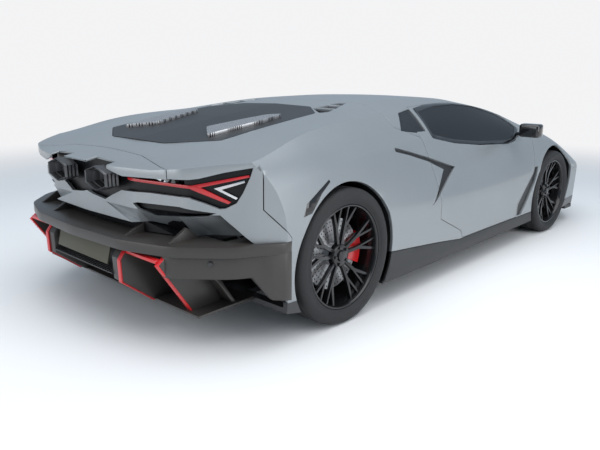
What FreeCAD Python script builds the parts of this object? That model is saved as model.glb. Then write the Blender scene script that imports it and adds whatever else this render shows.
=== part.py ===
# A low two-seat mid-engined supercar. Millimetres, +X forward, +Y left, +Z up.
# The origin is on the ground, halfway between nose and tail.
import FreeCAD, Part
import Sketcher
import math
import os
from FreeCAD import Vector, Placement, Rotation

doc = FreeCAD.newDocument("supercar")

# Driving dimensions: alias, value in mm or degrees, what it is
sheet = doc.addObject("Spreadsheet::Sheet", "sizes")
DIMENSIONS = (
    ("overall_length", 4947, "nose to tail"),
    ("body_width", 2033, "across the fenders"),
    ("roof_height", 1160, "ground to roof"),
    ("wheelbase", 2779, "front axle to rear axle"),
    ("rear_overhang", 1010, "rear axle to tail"),
    ("sill_height", 140, "ground to the flat floor"),
    ("skin", 26, "thickness of a body panel"),
    ("door_wall", 58, "thickness of a whole door"),
    ("seam", 0.3, "joint between fixed panels"),
    ("shut_gap", 7, "gap round a moving panel"),
    ("front_tyre_radius", 346, "front tyre"),
    ("front_tyre_width", 265, "front tyre"),
    ("front_rim_radius", 276, "front rim flange"),
    ("front_wheel_centre", 850, "car centre to front tyre centre"),
    ("rear_tyre_radius", 368, "rear tyre"),
    ("rear_tyre_width", 340, "rear tyre"),
    ("rear_rim_radius", 289, "rear rim flange"),
    ("rear_wheel_centre", 836, "car centre to rear tyre centre"),
    ("arch_clearance", 48, "front tyre to arch lip"),
    ("rear_arch_clearance", 33, "rear tyre to arch lip"),
    ("liner_thickness", 4, "arch liner sheet"),
    ("disc_thickness", 34, "brake disc"),
    ("front_disc_radius", 205, "front brake disc"),
    ("rear_disc_radius", 195, "rear brake disc"),
    ("hub_radius", 70, "wheel hub face"),
    ("spoke_groups", 5, "pairs of forked spokes in one wheel"),
    ("spoke_depth", 26, "wheel spokes, along the axle"),
    ("spoke_set", 84, "tyre side to the back of the wheel hub"),
    ("kingpin_inset", 45, "tyre centre to steering axis"),
    ("kingpin_radius", 14, "steering pin"),
    ("pin_clearance", 0.3, "gap round a pin"),
    ("glass_thickness", 5, "window glass"),
    ("glass_inset", 5, "body surface to glass"),
    ("hinge_pin_radius", 9, "door and lid hinge pins"),
    ("engine_length", 780, "engine block"),
    ("engine_width", 560, "engine block"),
    ("engine_height", 520, "engine block"),
    ("exhaust_height", 802, "ground to the tailpipe centres"),
    ("exhaust_spacing", 400, "left to right tailpipe centre"),
    ("exhaust_half_width", 108, "half the tailpipe, corner to corner"),
    ("exhaust_half_height", 50, "half the tailpipe, flat to flat"),
    ("exhaust_wall", 14, "tailpipe rim"),
    ("steering_wheel_radius", 178, "steering wheel rim"),
    ("steering_rim_section", 15, "steering wheel rim, half its thickness"),
    ("driver_offset", 370, "car centre to each seat centre"),
    ("seat_width", 480, "across a seat"),
    ("recess", 18, "depth of the intakes and bands in the panels"),
)
for row, (alias, amount, meaning) in enumerate(DIMENSIONS, start=1):
    sheet.set("A%d" % row, meaning)
    sheet.set("B%d" % row, str(amount))
    sheet.setAlias("B%d" % row, alias)
doc.recompute()


def size(alias):
    return float(sheet.get(alias))


HALF_LENGTH = size("overall_length") / 2
HALF_WIDTH = size("body_width") / 2
ROOF = size("roof_height")
SILL = size("sill_height")
SKIN = size("skin")
SEAM = size("seam")
SHUT = size("shut_gap")
REAR_AXLE = -HALF_LENGTH + size("rear_overhang")
FRONT_AXLE = REAR_AXLE + size("wheelbase")
FRONT_AXLE_HEIGHT = size("front_tyre_radius")
REAR_AXLE_HEIGHT = size("rear_tyre_radius")
FRONT_ARCH = size("front_tyre_radius") + size("arch_clearance")
REAR_ARCH = size("rear_tyre_radius") + size("rear_arch_clearance")
FAR = 3000.0

# Checked objects, in the order in which they are written
nodes = []


def keep(thing, label):
    thing.Label = label
    nodes.append(thing)
    return thing


def solid_node(label, shape):
    thing = doc.addObject("Part::Feature", label)
    thing.Shape = shape
    return keep(thing, label)


# Plain shape helpers
def wire_through(points):
    return Part.makePolygon(list(points) + [points[0]])


def side_prism(outline, low, high, grow=0.0):
    """Outline of (x, z) pairs, drawn in the side view and extruded from y=low to y=high."""
    face = Part.Face(wire_through([Vector(x, low, z) for x, z in outline]))
    if grow:
        face = face.makeOffset2D(grow, 2)
    return face.extrude(Vector(0, high - low, 0))


def top_prism(outline, low, high, grow=0.0):
    """Outline of (x, y) pairs, drawn in the top view and extruded from z=low to z=high."""
    face = Part.Face(wire_through([Vector(x, y, low) for x, y in outline]))
    if grow:
        face = face.makeOffset2D(grow, 2)
    return face.extrude(Vector(0, 0, high - low))


def front_prism(outline, low, high):
    """Outline of (y, z) pairs, drawn in the front view and extruded from x=low to x=high."""
    face = Part.Face(wire_through([Vector(low, y, z) for y, z in outline]))
    return face.extrude(Vector(high - low, 0, 0))


def box(x_low, x_high, y_low, y_high, z_low, z_high):
    return Part.makeBox(x_high - x_low, y_high - y_low, z_high - z_low, Vector(x_low, y_low, z_low))


def rod(start, end, radius):
    along = Vector(*end) - Vector(*start)
    return Part.makeCylinder(radius, along.Length, Vector(*start), along)


def mirrored(shape):
    return shape.mirror(Vector(0, 0, 0), Vector(0, 1, 0))


def solids_of(shape, smallest=2000.0):
    found = [solid for solid in shape.Solids if solid.Volume > smallest]
    return found[0] if len(found) == 1 else Part.makeCompound(found)


def sketch_in(body, role, loops, offset="0"):
    """Sketch on one of the body's own origin planes; each corner is a pair of expressions."""
    plane = [thing for thing in body.Origin.OriginFeatures if thing.Role == role][0]
    sketch = body.newObject("Sketcher::SketchObject", body.Name + "_sketch")
    sketch.AttachmentSupport = [(plane, "")]
    sketch.MapMode = "FlatFace"
    sketch.setExpression(".AttachmentOffset.Base.z", offset)
    for corners in loops:
        first = sketch.GeometryCount
        count = len(corners)
        places = [[float(sketch.evalExpression(text)) for text in corner] for corner in corners]
        for number in range(count):
            here = Vector(*places[number], 0)
            there = Vector(*places[(number + 1) % count], 0)
            sketch.addGeometry(Part.LineSegment(here, there), False)
        for number in range(count):
            following = first + (number + 1) % count
            sketch.addConstraint(Sketcher.Constraint("Coincident", first + number, 2, following, 1))
        for number, corner in enumerate(corners):
            for kind, text, place in zip(("DistanceX", "DistanceY"), corner, places[number]):
                index = sketch.addConstraint(Sketcher.Constraint(kind, -1, 1, first + number, 1, place))
                sketch.setExpression("Constraints[%d]" % index, text)
    return sketch


def revolved(body, corners):
    """Solid turned about the body's Y axis from a profile of (y, radius) expressions."""
    feature = body.newObject("PartDesign::Revolution", body.Name + "_turned")
    sketch = sketch_in(body, "YZ_Plane", [corners])
    feature.Profile = sketch
    feature.ReferenceAxis = (sketch, ["H_Axis"])
    feature.Angle = 360
    return feature


def new_body(label, placement=Placement()):
    body = doc.addObject("PartDesign::Body", label)
    body.Placement = placement
    return body


# Body sections: place along the car, then for each corner of half a section its
# distance in from the side of the car and its height. Corners from the floor up:
# sill, waist (widest), belt (foot of the windows), rail (roof rail, then the crest of
# the buttress or fender), deck (inner crease), and the height of the centre line.
# Each row is measured from the rear axle or from the front axle.
SECTIONS = (
    # axle, along, sill, waist, belt, rail, deck, crown
    (REAR_AXLE, -1010, (86, 330), (16, 520), (31, 740), (76, 880), (376, 880), 885),
    (REAR_AXLE, -582, (41, 200), (4, 540), (26, 760), (91, 901), (386, 945), 958),
    (REAR_AXLE, -300, (26, 150), (0, 580), (38, 830), (150, 996), (401, 995), 1003),
    (REAR_AXLE, 0, (16, 140), (0, 600), (54, 860), (214, 1036), (416, 1040), 1050),
    (REAR_AXLE, 363, (16, 140), (8, 560), (91, 875), (289, 1057), (426, 1085), 1100),
    (REAR_AXLE, 683, (26, 140), (23, 540), (156, 900), (351, 1066), (496, 1125), 1141),
    (REAR_AXLE, 1057, (31, 140), (31, 535), (226, 905), (404, 1085), (566, 1138), 1152),
    (FRONT_AXLE, -1149, (46, 140), (31, 530), (149, 821), (430, 1118), (596, 1150), 1160),
    (FRONT_AXLE, -615, (51, 145), (31, 540), (121, 800), (361, 1048), (576, 1078), 1090),
    (FRONT_AXLE, -315, (54, 148), (26, 570), (126, 830), (231, 900), (516, 965), 985),
    (FRONT_AXLE, 0, (56, 150), (16, 600), (61, 765), (216, 852), (496, 852), 880),
    (FRONT_AXLE, 325, (61, 155), (16, 560), (81, 660), (216, 750), (506, 775), 800),
    (FRONT_AXLE, 785, (96, 152), (61, 430), (136, 520), (236, 565), (546, 620), 655),
    (FRONT_AXLE, 1158, (176, 152), (156, 330), (216, 390), (326, 415), (636, 450), 475),
)
HIGHEST = 1160.0
SIDE_BULGE = 16.0
SHOULDER_BULGE = 10.0


def bowed(start, end, bulge):
    """Arc from start to end that stands out by the bulge in the y-z plane."""
    chord = end - start
    outward = Vector(0, chord.z, -chord.y).normalize()
    middle = (start + end) * 0.5 + outward * bulge
    return Part.Arc(start, middle, end).toShape()


def section_wire(place, corners, crown, inset):
    """Left half of a section of the body at one place, moved inwards by the inset."""
    lift = ROOF - HIGHEST
    sill, waist, belt, rail, deck = corners
    floor_at = Vector(place, 0, sill[1] - 140 + SILL + inset)
    sill_at = Vector(place, HALF_WIDTH - sill[0] - inset, sill[1] - 140 + SILL + inset)
    waist_at = Vector(place, HALF_WIDTH - waist[0] - inset, waist[1])
    belt_at = Vector(place, HALF_WIDTH - belt[0] - inset, belt[1])
    rail_at = Vector(place, HALF_WIDTH - rail[0] - 0.75 * inset, rail[1] + lift - 0.75 * inset)
    deck_at = Vector(place, HALF_WIDTH - deck[0] - 0.2 * inset, deck[1] + lift - inset)
    crown_at = Vector(place, 0, crown + lift - inset)
    edges = [
        Part.makeLine(floor_at, sill_at),
        Part.makeLine(sill_at, waist_at),
        bowed(waist_at, belt_at, SIDE_BULGE),
        bowed(belt_at, rail_at, SHOULDER_BULGE),
        Part.makeLine(rail_at, deck_at),
        Part.makeLine(deck_at, crown_at),
        Part.makeLine(crown_at, floor_at),
    ]
    return Part.Wire(edges)


def hull(inset=0.0):
    """Left half of the body's outer form, or of one that lies inside it by the inset."""
    wires = []
    last = len(SECTIONS) - 1
    for number, (axle, along, sill, waist, belt, rail, deck, crown) in enumerate(SECTIONS):
        place = axle + along
        if number == 0:
            place += inset
        if number == last:
            place -= inset
        wires.append(section_wire(place, (sill, waist, belt, rail, deck), crown, inset))
    return Part.makeLoft(wires, True, True)


# Ends of the body in the top view, left half, from the centre outwards
TAIL_LIP = ((-970, 0), (-955, 400), (-870, 700), (-700, 870), (-570, 945), (-430, 1040))
TAIL_FASCIA = ((-905, 0), (-888, 400), (-790, 700), (-600, 920), (-480, 1000), (-430, 1040))
TAIL_BUMPER = ((-1010, 0), (-985, 430), (-895, 700), (-715, 905), (-530, 1000), (-420, 1040))
NOSE = ((1158, 0), (1120, 330), (1010, 620), (830, 820), (590, 955), (380, 1040))


def from_axle(axle, outline):
    return [(axle + x, y) for x, y in outline]


def end_block(tail, low, high, inset=0.0):
    """Everything ahead of a tail outline and behind the nose outline."""
    rear = [(x + inset, y) for x, y in from_axle(REAR_AXLE, tail)]
    front = [(x - inset, y) for x, y in from_axle(FRONT_AXLE, NOSE)]
    half = rear + [(x, y) for x, y in reversed(front)]
    outline = half + [(x, -y) for x, y in reversed(half) if y > 0]
    return top_prism(outline, low, high)


LIP_HEIGHT = 838.0


def trimmed_hull(inset=0.0):
    upper = hull(inset).common(end_block(TAIL_LIP, LIP_HEIGHT, FAR, inset))
    lower = hull(inset).common(end_block(TAIL_FASCIA, -100, LIP_HEIGHT, inset))
    return upper.fuse(lower)


outer = trimmed_hull()
inner = trimmed_hull(SKIN)
door_inner = trimmed_hull(size("door_wall"))
skin_shell = outer.cut(inner)

# Wheel arches, left side
FRONT_BAY = 520.0
REAR_BAY = 600.0
front_arch = Part.makeCylinder(FRONT_ARCH, FAR, Vector(FRONT_AXLE, FRONT_BAY, FRONT_AXLE_HEIGHT), Vector(0, 1, 0))
rear_arch = Part.makeCylinder(REAR_ARCH, FAR, Vector(REAR_AXLE, REAR_BAY, REAR_AXLE_HEIGHT), Vector(0, 1, 0))
skin_shell = skin_shell.cut([front_arch, rear_arch])

# Left door: outline in the side view, and the line of its top edge in the top view
DOOR_SIDE = (
    (-586, 529), (-541, 793), (-515, 925), (-515, 1400), (985, 1400), (985, 860),
    (950, 740), (885, 594), (640, 330), (650, 236), (-205, 236), (-235, 290), (-512, 415),
)
DOOR_TOP = (
    (-515, 1100), (-515, 778), (-398, 770), (-385, 606), (-87, 588), (201, 576),
    (461, 600), (687, 652), (843, 705), (985, 775), (985, 1100),
)
DOOR_HINGE = Vector(955, 790, 870)
DOOR_AXIS = Vector(0, 0.866, -0.5)
HINGE_RELIEF = 75.0


def door_region(grow=0.0):
    side = side_prism(DOOR_SIDE, 400, 1200, grow)
    top = top_prism(DOOR_TOP, 0, FAR, grow)
    return side.common(top)


door_opening = door_region(SHUT)
relief = Part.makeCylinder(HINGE_RELIEF, 500, Vector(DOOR_HINGE.x, 690, DOOR_HINGE.z), Vector(0, 1, 0))
door_opening = door_opening.fuse(relief)

# Glass outlines in the side view
DOOR_GLASS = ((-350, 918), (-330, 1062), (-87, 1090), (201, 1097), (461, 1074), (687, 1016),
              (790, 966), (845, 905), (700, 835), (562, 822), (166, 842), (-132, 874))
QUARTER_GLASS = ((-680, 972), (-548, 1052), (-420, 1068), (-430, 943), (-500, 950))

# Outlines in the top view, left half
WINDSCREEN = ((1330, 0), (1285, 360), (1100, 640), (985, 728), (843, 672), (687, 618),
              (470, 560), (395, 520), (350, 300), (340, 0))
FRONT_LID = ((1400, 0), (1400, 470), (1520, 600), (2040, 520), (2200, 330), (2235, 0))
ENGINE_COVER = ((-1010, 0), (-1010, 300), (-1180, 500), (-1900, 520), (-2060, 250), (-2070, 0))
REAR_WING = ((-2235, 0), (-2246, 330), (-2318, 640), (-2600, 640), (-2600, 0))


def half_region(outline, low, grow=0.0):
    """The left half of a panel's outline; the grown one still ends on the centre line."""
    whole = list(outline) + [(x, -y) for x, y in reversed(outline) if y > 0]
    return top_prism(whole, low, FAR, grow)


windscreen_hole = half_region(WINDSCREEN, 700)
lid_region = half_region(FRONT_LID, 520)
lid_hole = half_region(FRONT_LID, 520, SHUT)
cover_region = half_region(ENGINE_COVER, 800)
cover_hole = half_region(ENGINE_COVER, 800, SHUT)
WING_FOOT = 866.0
wing_region = half_region(REAR_WING, WING_FOOT)
wing_hole = half_region(REAR_WING, WING_FOOT - SHUT, SHUT + 2)
quarter_hole = side_prism(QUARTER_GLASS, 500, 900)

# Where one fixed panel ends and the next begins, in the side view
SILL_TOP = 229.0
TAIL_CUT = ((-2700, 0), (-1900, 0), (-1900, 560), (-2020, 700), (-2020, LIP_HEIGHT), (-2700, LIP_HEIGHT))
NOSE_CUT = ((1710, 0), (1710, 500), (2030, 545), (2255, 700), (2700, 700), (2700, 0))
ROOF_CUT = ((-760, 1400), (-760, 990), (-515, 915), (-515, 860), (985, 830), (1360, 830), (1360, 1400))


def zone(outline, grow=0.0):
    return side_prism(outline, -10, 1200, grow)


SKIRT_FROM = 908.0
SKIRT_SIDE = ((REAR_AXLE, 0), (REAR_AXLE, 330), (-1062, 315), (-520, 262), (-243, SILL_TOP), (FRONT_AXLE, SILL_TOP),
              (FRONT_AXLE, 0))
floor_zone = box(-FAR, FAR, -10, 1200, 0, SILL_TOP).fuse(side_prism(SKIRT_SIDE, SKIRT_FROM - SEAM, 1200, SEAM))
upper_shell = skin_shell.cut([floor_zone, door_opening, windscreen_hole, quarter_hole])
roof = upper_shell.common(zone(ROOF_CUT)).cut([cover_hole, box(1030, 1500, -10, 1200, 0, FAR)])
rest = upper_shell.cut([zone(ROOF_CUT, SEAM).cut(box(1030 + SEAM, 1500, -20, 1300, 0, FAR)), cover_hole, lid_hole, wing_hole])
tail_panel = rest.common(zone(TAIL_CUT)).common(box(-FAR, 0, -10, 1200, 545, FAR))
front_bumper = rest.common(zone(NOSE_CUT))
rest = rest.cut([zone(TAIL_CUT, SEAM), zone(NOSE_CUT, SEAM)])
front_fenders = rest.common(box(0, FAR, -10, 1200, 0, FAR))
rear_quarters = rest.common(box(-FAR, 0, -10, 1200, 0, FAR))

# Shallow recesses of the panels, left side: the dark forked intake behind the door and the slot
# behind the front wheel in the side view, the nose intake, tail band and tail intake in the end views
INTAKE_SIDE = ((-935, 886), (-743, 848), (-544, 796), (-270, 719), (-400, 706), (-588, 540), (-662, 512),
               (-640, 560), (-520, 700), (-560, 740), (-760, 790), (-925, 850))
SLOT_SIDE = ((905, 600), (655, 330), (662, 240), (720, 240), (800, 330), (905, 480), (945, 590))
NOSE_INTAKE = ((330, 240), (700, 250), (780, 360), (640, 385), (360, 300))
TAIL_BAND = ((-1, 828), (800, 828), (880, 800), (830, 712), (700, 753), (500, 758), (320, 752), (170, 690), (-1, 690))
TAIL_INTAKE = ((414, 700), (330, 655), (418, 605), (640, 610), (797, 672), (700, 703))
TAIL_LAMP = ((345, 812), (480, 812), (800, 826), (812, 812), (560, 784), (740, 735), (728, 722), (500, 768), (345, 796))
recess_shell = outer.cut(trimmed_hull(size("recess")))
intake_recess = recess_shell.common(side_prism(INTAKE_SIDE, 800, 1200))
slot_recess = recess_shell.common(side_prism(SLOT_SIDE, 850, 1200))
tail_recess = recess_shell.common(front_prism(TAIL_BAND, -FAR, -1900))
tail_intake = recess_shell.common(front_prism(TAIL_INTAKE, -FAR, -1900))
nose_intake = recess_shell.common(front_prism(NOSE_INTAKE, 1900, FAR))
tail_lamp = tail_panel.common(front_prism(TAIL_LAMP, -FAR, -1900))
lamp_seat = front_prism(TAIL_LAMP, -FAR, -1900)
tail_panel = tail_panel.cut([tail_recess, tail_intake, lamp_seat])
front_bumper = front_bumper.cut(nose_intake)
front_fenders = front_fenders.cut(slot_recess)
rear_quarters = rear_quarters.cut(intake_recess)


def whole(half):
    return half.fuse(mirrored(half))


# Gooseneck hinge arms under the front lid and the engine cover, drawn about the pin
GOOSENECK = ((-14, 12), (13, 13), (22, -95), (150, -95), (160, 40), (190, 40), (175, -119), (0, -119), (-14, -12))
LID_PIN = Vector(1290, 386, 815)
COVER_PIN = Vector(-890, 248, 1068)
HINGE_EDGE = 3.0
ARM_HALF = 6.0


def hinge_arm(pin, facing):
    outline = [(pin.x + facing * x, pin.z + z) for x, z in GOOSENECK]
    bar = side_prism(outline, pin.y - ARM_HALF, pin.y + ARM_HALF)
    bore = rod((pin.x, pin.y - 20, pin.z), (pin.x, pin.y + 20, pin.z), size("hinge_pin_radius") + size("pin_clearance"))
    return bar.cut(bore).common(hull(SKIN - 1))


lid_skin = skin_shell.common(lid_region).cut(box(0, 1400 + HINGE_EDGE, -FAR, FAR, 0, FAR))
cover_skin = skin_shell.common(cover_region).cut(box(-1010 - HINGE_EDGE, 0, -FAR, FAR, 0, FAR))
front_lid = lid_skin.fuse(hinge_arm(LID_PIN, 1))
engine_cover = cover_skin.fuse(hinge_arm(COVER_PIN, -1))
WING_PIN = Vector(-2320, 640, 893)
wing_pin = rod((WING_PIN.x, 622, WING_PIN.z), (WING_PIN.x, 672, WING_PIN.z), 5)
rear_wing = skin_shell.common(wing_region).fuse(wing_pin)
rear_quarters = rear_quarters.cut(rod((WING_PIN.x, 600, WING_PIN.z), (WING_PIN.x, 676, WING_PIN.z), 5 + size("pin_clearance")))

for label, half in (("roof", roof), ("tail_panel", tail_panel), ("front_bumper", front_bumper),
                    ("front_fenders", front_fenders), ("rear_quarters", rear_quarters),
                    ("front_lid", front_lid), ("engine_cover", engine_cover),
                    ("rear_wing", rear_wing)):
    solid_node(label, solids_of(whole(half)))

tail_lamp = tail_lamp.common(front_prism(TAIL_LAMP, -FAR, -1900)).cut(trimmed_hull(size("recess") + SEAM))
solid_node("tail_lamps", Part.makeCompound([solids_of(tail_lamp), mirrored(solids_of(tail_lamp))]))

# Left half of the glass, and the two doors
pane_shell = hull(size("glass_inset")).cut(hull(size("glass_inset") + size("glass_thickness")))
windscreen = whole(pane_shell.common(half_region(WINDSCREEN, 700, -SEAM)))
quarter_glass = pane_shell.common(side_prism(QUARTER_GLASS, 500, 900, -SEAM))
door_glass = pane_shell.common(side_prism(DOOR_GLASS, 500, 1000, -SEAM))
solid_node("fixed_glass", solids_of(Part.makeCompound([windscreen, quarter_glass, mirrored(quarter_glass)])))

# The door pin points a little forwards and down, so the door swings up and out
DOOR_BORE = size("hinge_pin_radius") + size("pin_clearance")
pin_start = DOOR_HINGE - DOOR_AXIS * 71
pin_end = DOOR_HINGE + DOOR_AXIS * 84
door_bore = rod(pin_start - DOOR_AXIS * 60, pin_end + DOOR_AXIS, DOOR_BORE)
door_pin = rod(pin_start, pin_end, size("hinge_pin_radius"))
REAR_BEVEL = ((-700, 1016), (-592, 1016), (-585, 985), (-430, 870), (-430, 700), (-700, 700))
door_shell = outer.cut(door_inner).common(door_region())
door_shell = door_shell.cut([side_prism(DOOR_GLASS, 500, 1000), door_bore, top_prism(REAR_BEVEL, 300, 900), intake_recess])

MIRROR_HEAD = ((560, 975), (640, 960), (640, 1120), (590, 1133), (530, 1128), (525, 985))
mirror_head = top_prism(MIRROR_HEAD, 866, 926)
mirror_stalk = rod((850, 820, 850), (612, 1010, 885), 13)
mirror = mirror_head.fuse(mirror_stalk).cut(hull())
for side_name, flip in (("left", False), ("right", True)):
    solid_node("door_" + side_name, solids_of(mirrored(door_shell) if flip else door_shell))
    solid_node("door_glass_" + side_name, solids_of(mirrored(door_glass) if flip else door_glass))
    solid_node("mirror_" + side_name, solids_of(mirrored(mirror) if flip else mirror))

# Lower body: skirts between the arches and the flat floor
FLOOR_END = -1900.0
skirt = skin_shell.common(side_prism(SKIRT_SIDE, SKIRT_FROM, 1200))
solid_node("side_skirts", solids_of(Part.makeCompound([skirt, mirrored(skirt)])))
floor_half = skin_shell.common(box(FLOOR_END, FRONT_AXLE + 1000, -10, SKIRT_FROM - SEAM, 0, SILL_TOP))
floor_half = floor_half.fuse(skin_shell.common(box(FLOOR_END, REAR_AXLE, 880, 1200, 0, SILL_TOP)))
floor_half = floor_half.fuse(skin_shell.common(box(FRONT_AXLE, FRONT_AXLE + 1000, 880, 1200, 0, SILL_TOP)))
FLOOR_TOP = 182.0

# Tub: floor, sills, bulkheads, the post that carries each door, rails to both ends
SILL_OUTER = 905.0
BUMPER_WALL = 45.0
BULKHEAD_BACK = -600.0
BULKHEAD_FRONT = -560.0
WALL_INSIDE = hull(SKIN + 12)
tub_parts = [
    floor_half,
    box(BULKHEAD_BACK, 840, 0, 691, SILL + 20, FLOOR_TOP),
    box(BULKHEAD_BACK, 840, 690, SILL_OUTER, SILL + 20, 330),
    box(BULKHEAD_BACK, BULKHEAD_FRONT, 0, 840, FLOOR_TOP - 1, 900).common(WALL_INSIDE),
    box(840, 880, 0, 660, FLOOR_TOP - 1, 820).common(WALL_INSIDE),
    side_prism(((790, FLOOR_TOP - 1), (850, FLOOR_TOP - 1), (882, 600), (985, 820), (985, 880), (925, 880)), 640, 720),
    box(935, 975, 700, 748, 820, 904),
    box(-2470, BULKHEAD_BACK + 1, 320, 380, 330, 390).common(end_block(TAIL_BUMPER, 200, 600, BUMPER_WALL + SEAM)),
    box(-2300, -2240, 0, 380, 330, 390),
    box(BULKHEAD_BACK - 20, BULKHEAD_BACK + 1, 250, 290, 820, 1080),
    box(-908, BULKHEAD_BACK, 262, 290, 1052, 1080),
    rod((COVER_PIN.x, 236, COVER_PIN.z), (COVER_PIN.x, 264, COVER_PIN.z), size("hinge_pin_radius")),
    box(879, 2180, 440, 490, 250, 320),
    box(2120, 2180, 0, 490, 250, 320),
    box(1500, 1560, 0, 490, 250, 320),
]
tub_half = tub_parts[0]
for extra in tub_parts[1:]:
    tub_half = tub_half.fuse(extra)
tub_half = tub_half.fuse(door_pin)
tub_half = tub_half.cut([front_arch, rear_arch])
solid_node("tub", solids_of(whole(tub_half)))

# Front luggage box, open at the top, with the lid's hinge pins on its sides
BOX_SIDE = ((1000, 320 + SEAM), (2110, 320 + SEAM), (2110, 545), (1460, 740), (1400, 790), (1330, 838), (1000, 838))
luggage = side_prism(BOX_SIDE, -10, 360).common(hull(SKIN + 10)).cut(box(1012, 2098, -20, 348, 334, FAR))
luggage = luggage.common(box(0, FAR, 0, 1200, 0, FAR))
lid_pin = rod((LID_PIN.x, 355, LID_PIN.z), (LID_PIN.x, 402, LID_PIN.z), size("hinge_pin_radius"))
solid_node("luggage_box", solids_of(whole(luggage.fuse(lid_pin))))

# Rear bumper, diffuser and its fins
bumper_block = end_block(TAIL_BUMPER, 300, 540)
bumper_core = end_block(TAIL_BUMPER, 200, 600, BUMPER_WALL)
rear_bumper = bumper_block.cut(bumper_core).common(box(-FAR, -1900, -FAR, FAR, 0, FAR))
rear_bumper = rear_bumper.cut([rear_arch, mirrored(rear_arch)])
solid_node("rear_bumper", solids_of(rear_bumper))
fins = []
for fin_y, fin_back in ((330, -2370), (640, -2300)):
    blade = ((fin_back, 300), (fin_back + 140, 186), (FLOOR_END - 30, 186), (FLOOR_END - 30, 226), (fin_back + 150, 300))
    fins.append(side_prism(blade, fin_y - 9, fin_y + 9))
DIFFUSER_SIDE = ((FLOOR_END - SEAM, 176), (FLOOR_END - SEAM, 200), (-2380, 299), (-2380, 285))
diffuser = side_prism(DIFFUSER_SIDE, -780, 780)
for fin in fins:
    diffuser = diffuser.fuse([fin, mirrored(fin)])
solid_node("rear_diffuser", solids_of(diffuser))

# Tailpipes: hexagonal tubes
tail_x = REAR_AXLE - 968
pipe_half = size("exhaust_spacing") / 2


def tailpipe_outline(centre, grow):
    wide = size("exhaust_half_width") + grow
    tall = size("exhaust_half_height") + grow
    corners = ((wide, 0), (0.6 * wide, tall), (-0.6 * wide, tall), (-wide, 0), (-0.6 * wide, -tall), (0.6 * wide, -tall))
    return [(centre + y, size("exhaust_height") + z) for y, z in corners]


pipes = []
pipe_holes = []
for pipe_y in (-pipe_half, pipe_half):
    tube = front_prism(tailpipe_outline(pipe_y, 0), tail_x, tail_x + 110)
    core = front_prism(tailpipe_outline(pipe_y, -size("exhaust_wall")), tail_x - 1, tail_x + 90)
    pipes.append(tube.cut(core))
    pipe_holes.append(front_prism(tailpipe_outline(pipe_y, SEAM), tail_x - 60, tail_x + 300))
solid_node("exhaust_tips", Part.makeCompound(pipes))
for panel_name in ("tail_panel", "rear_quarters"):
    panel = nodes[[thing.Label for thing in nodes].index(panel_name)]
    panel.Shape = solids_of(panel.Shape.cut(pipe_holes))

# Engine as one plain block, hung on the rear rails by two cross feet
ENGINE_FOOT = 250.0
ENGINE_BACK = -1430.0
engine_box = doc.addObject("Part::Box", "engine_box")
for side, cell in (("Length", "engine_length"), ("Width", "engine_width"), ("Height", "engine_height")):
    engine_box.setExpression(side, "sizes." + cell)
engine_box.setExpression(".Placement.Base.x", str(ENGINE_BACK))
engine_box.setExpression(".Placement.Base.y", "-sizes.engine_width / 2")
engine_box.setExpression(".Placement.Base.z", str(ENGINE_FOOT))
engine_feet = []
for number, along in enumerate(("80", "sizes.engine_length - 140")):
    foot = doc.addObject("Part::Box", "engine_foot_%d" % number)
    foot.Length, foot.Width, foot.Height = 60, 700, 30 - SEAM
    foot.setExpression(".Placement.Base.x", "%s + %s" % (ENGINE_BACK, along))
    foot.Placement.Base.y = -350
    foot.Placement.Base.z = 390 + SEAM
    engine_feet.append(foot)
engine = doc.addObject("Part::MultiFuse", "engine_block")
engine.Shapes = [engine_box] + engine_feet
keep(engine, "engine_block")

# Seats, dashboard and steering wheel
SEAT_SIDE = ((330, 182), (330, 330), (-120, 270), (-330, 800), (-400, 800), (-240, 196), (-240, 182))
seat_body = new_body("seat_left")
seat_corners = [(str(x), str(z)) for x, z in SEAT_SIDE]
seat_pad = seat_body.newObject("PartDesign::Pad", "seat_pad")
seat_pad.Profile = sketch_in(seat_body, "XZ_Plane", [seat_corners], "-sizes.driver_offset + sizes.seat_width / 2")
seat_pad.setExpression("Length", "sizes.seat_width")
seat_pad.Reversed = True
seat_mirror = doc.addObject("Part::Mirroring", "seat_right")
seat_mirror.Source = seat_body
seat_mirror.Normal = Vector(0, 1, 0)
seats = doc.addObject("Part::Compound", "seats")
seats.Links = [seat_body, seat_mirror]
keep(seats, "seats")
DASH_SIDE = ((839, 500), (839, 800), (600, 790), (520, 700), (560, 560), (700, 480))
dashboard = side_prism(DASH_SIDE, 0, 636)
console = side_prism(((700, 182), (700, 520), (300, 400), (-200, 360), (-200, 182)), 0, 100)
solid_node("dashboard", solids_of(whole(dashboard.fuse(console))))

WHEEL_CENTRE = Vector(455, size("driver_offset"), 720)
WHEEL_LEAN = Vector(-math.cos(math.radians(22)), 0, math.sin(math.radians(22)))
rim_half = size("steering_rim_section")
rim_section = [Vector(0, y, size("steering_wheel_radius") + r) for r, y in
               ((-rim_half, 0), (0, rim_half), (rim_half, 0), (0, -rim_half))]
rim_ring = Part.Face(wire_through(rim_section)).revolve(Vector(), Vector(0, 1, 0), 360)
rim_ring.Placement = Placement(WHEEL_CENTRE, Rotation(Vector(0, 1, 0), WHEEL_LEAN))
spindle = Part.makeCylinder(22, 118, WHEEL_CENTRE - WHEEL_LEAN * 118, WHEEL_LEAN)
pad = Part.makeCylinder(60, 30, WHEEL_CENTRE - WHEEL_LEAN * 15, WHEEL_LEAN)
spoke_bar = Part.makeBox(330, 34, 16, Vector(-165, -17, -8))
spoke_bar.Placement = Placement(WHEEL_CENTRE, Rotation(Vector(0, 1, 0), WHEEL_LEAN, Vector(0, 0, 1), "XZY"))
steering_wheel = rim_ring.fuse([spindle, pad, spoke_bar])
dash = nodes[[thing.Label for thing in nodes].index("dashboard")]
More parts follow.
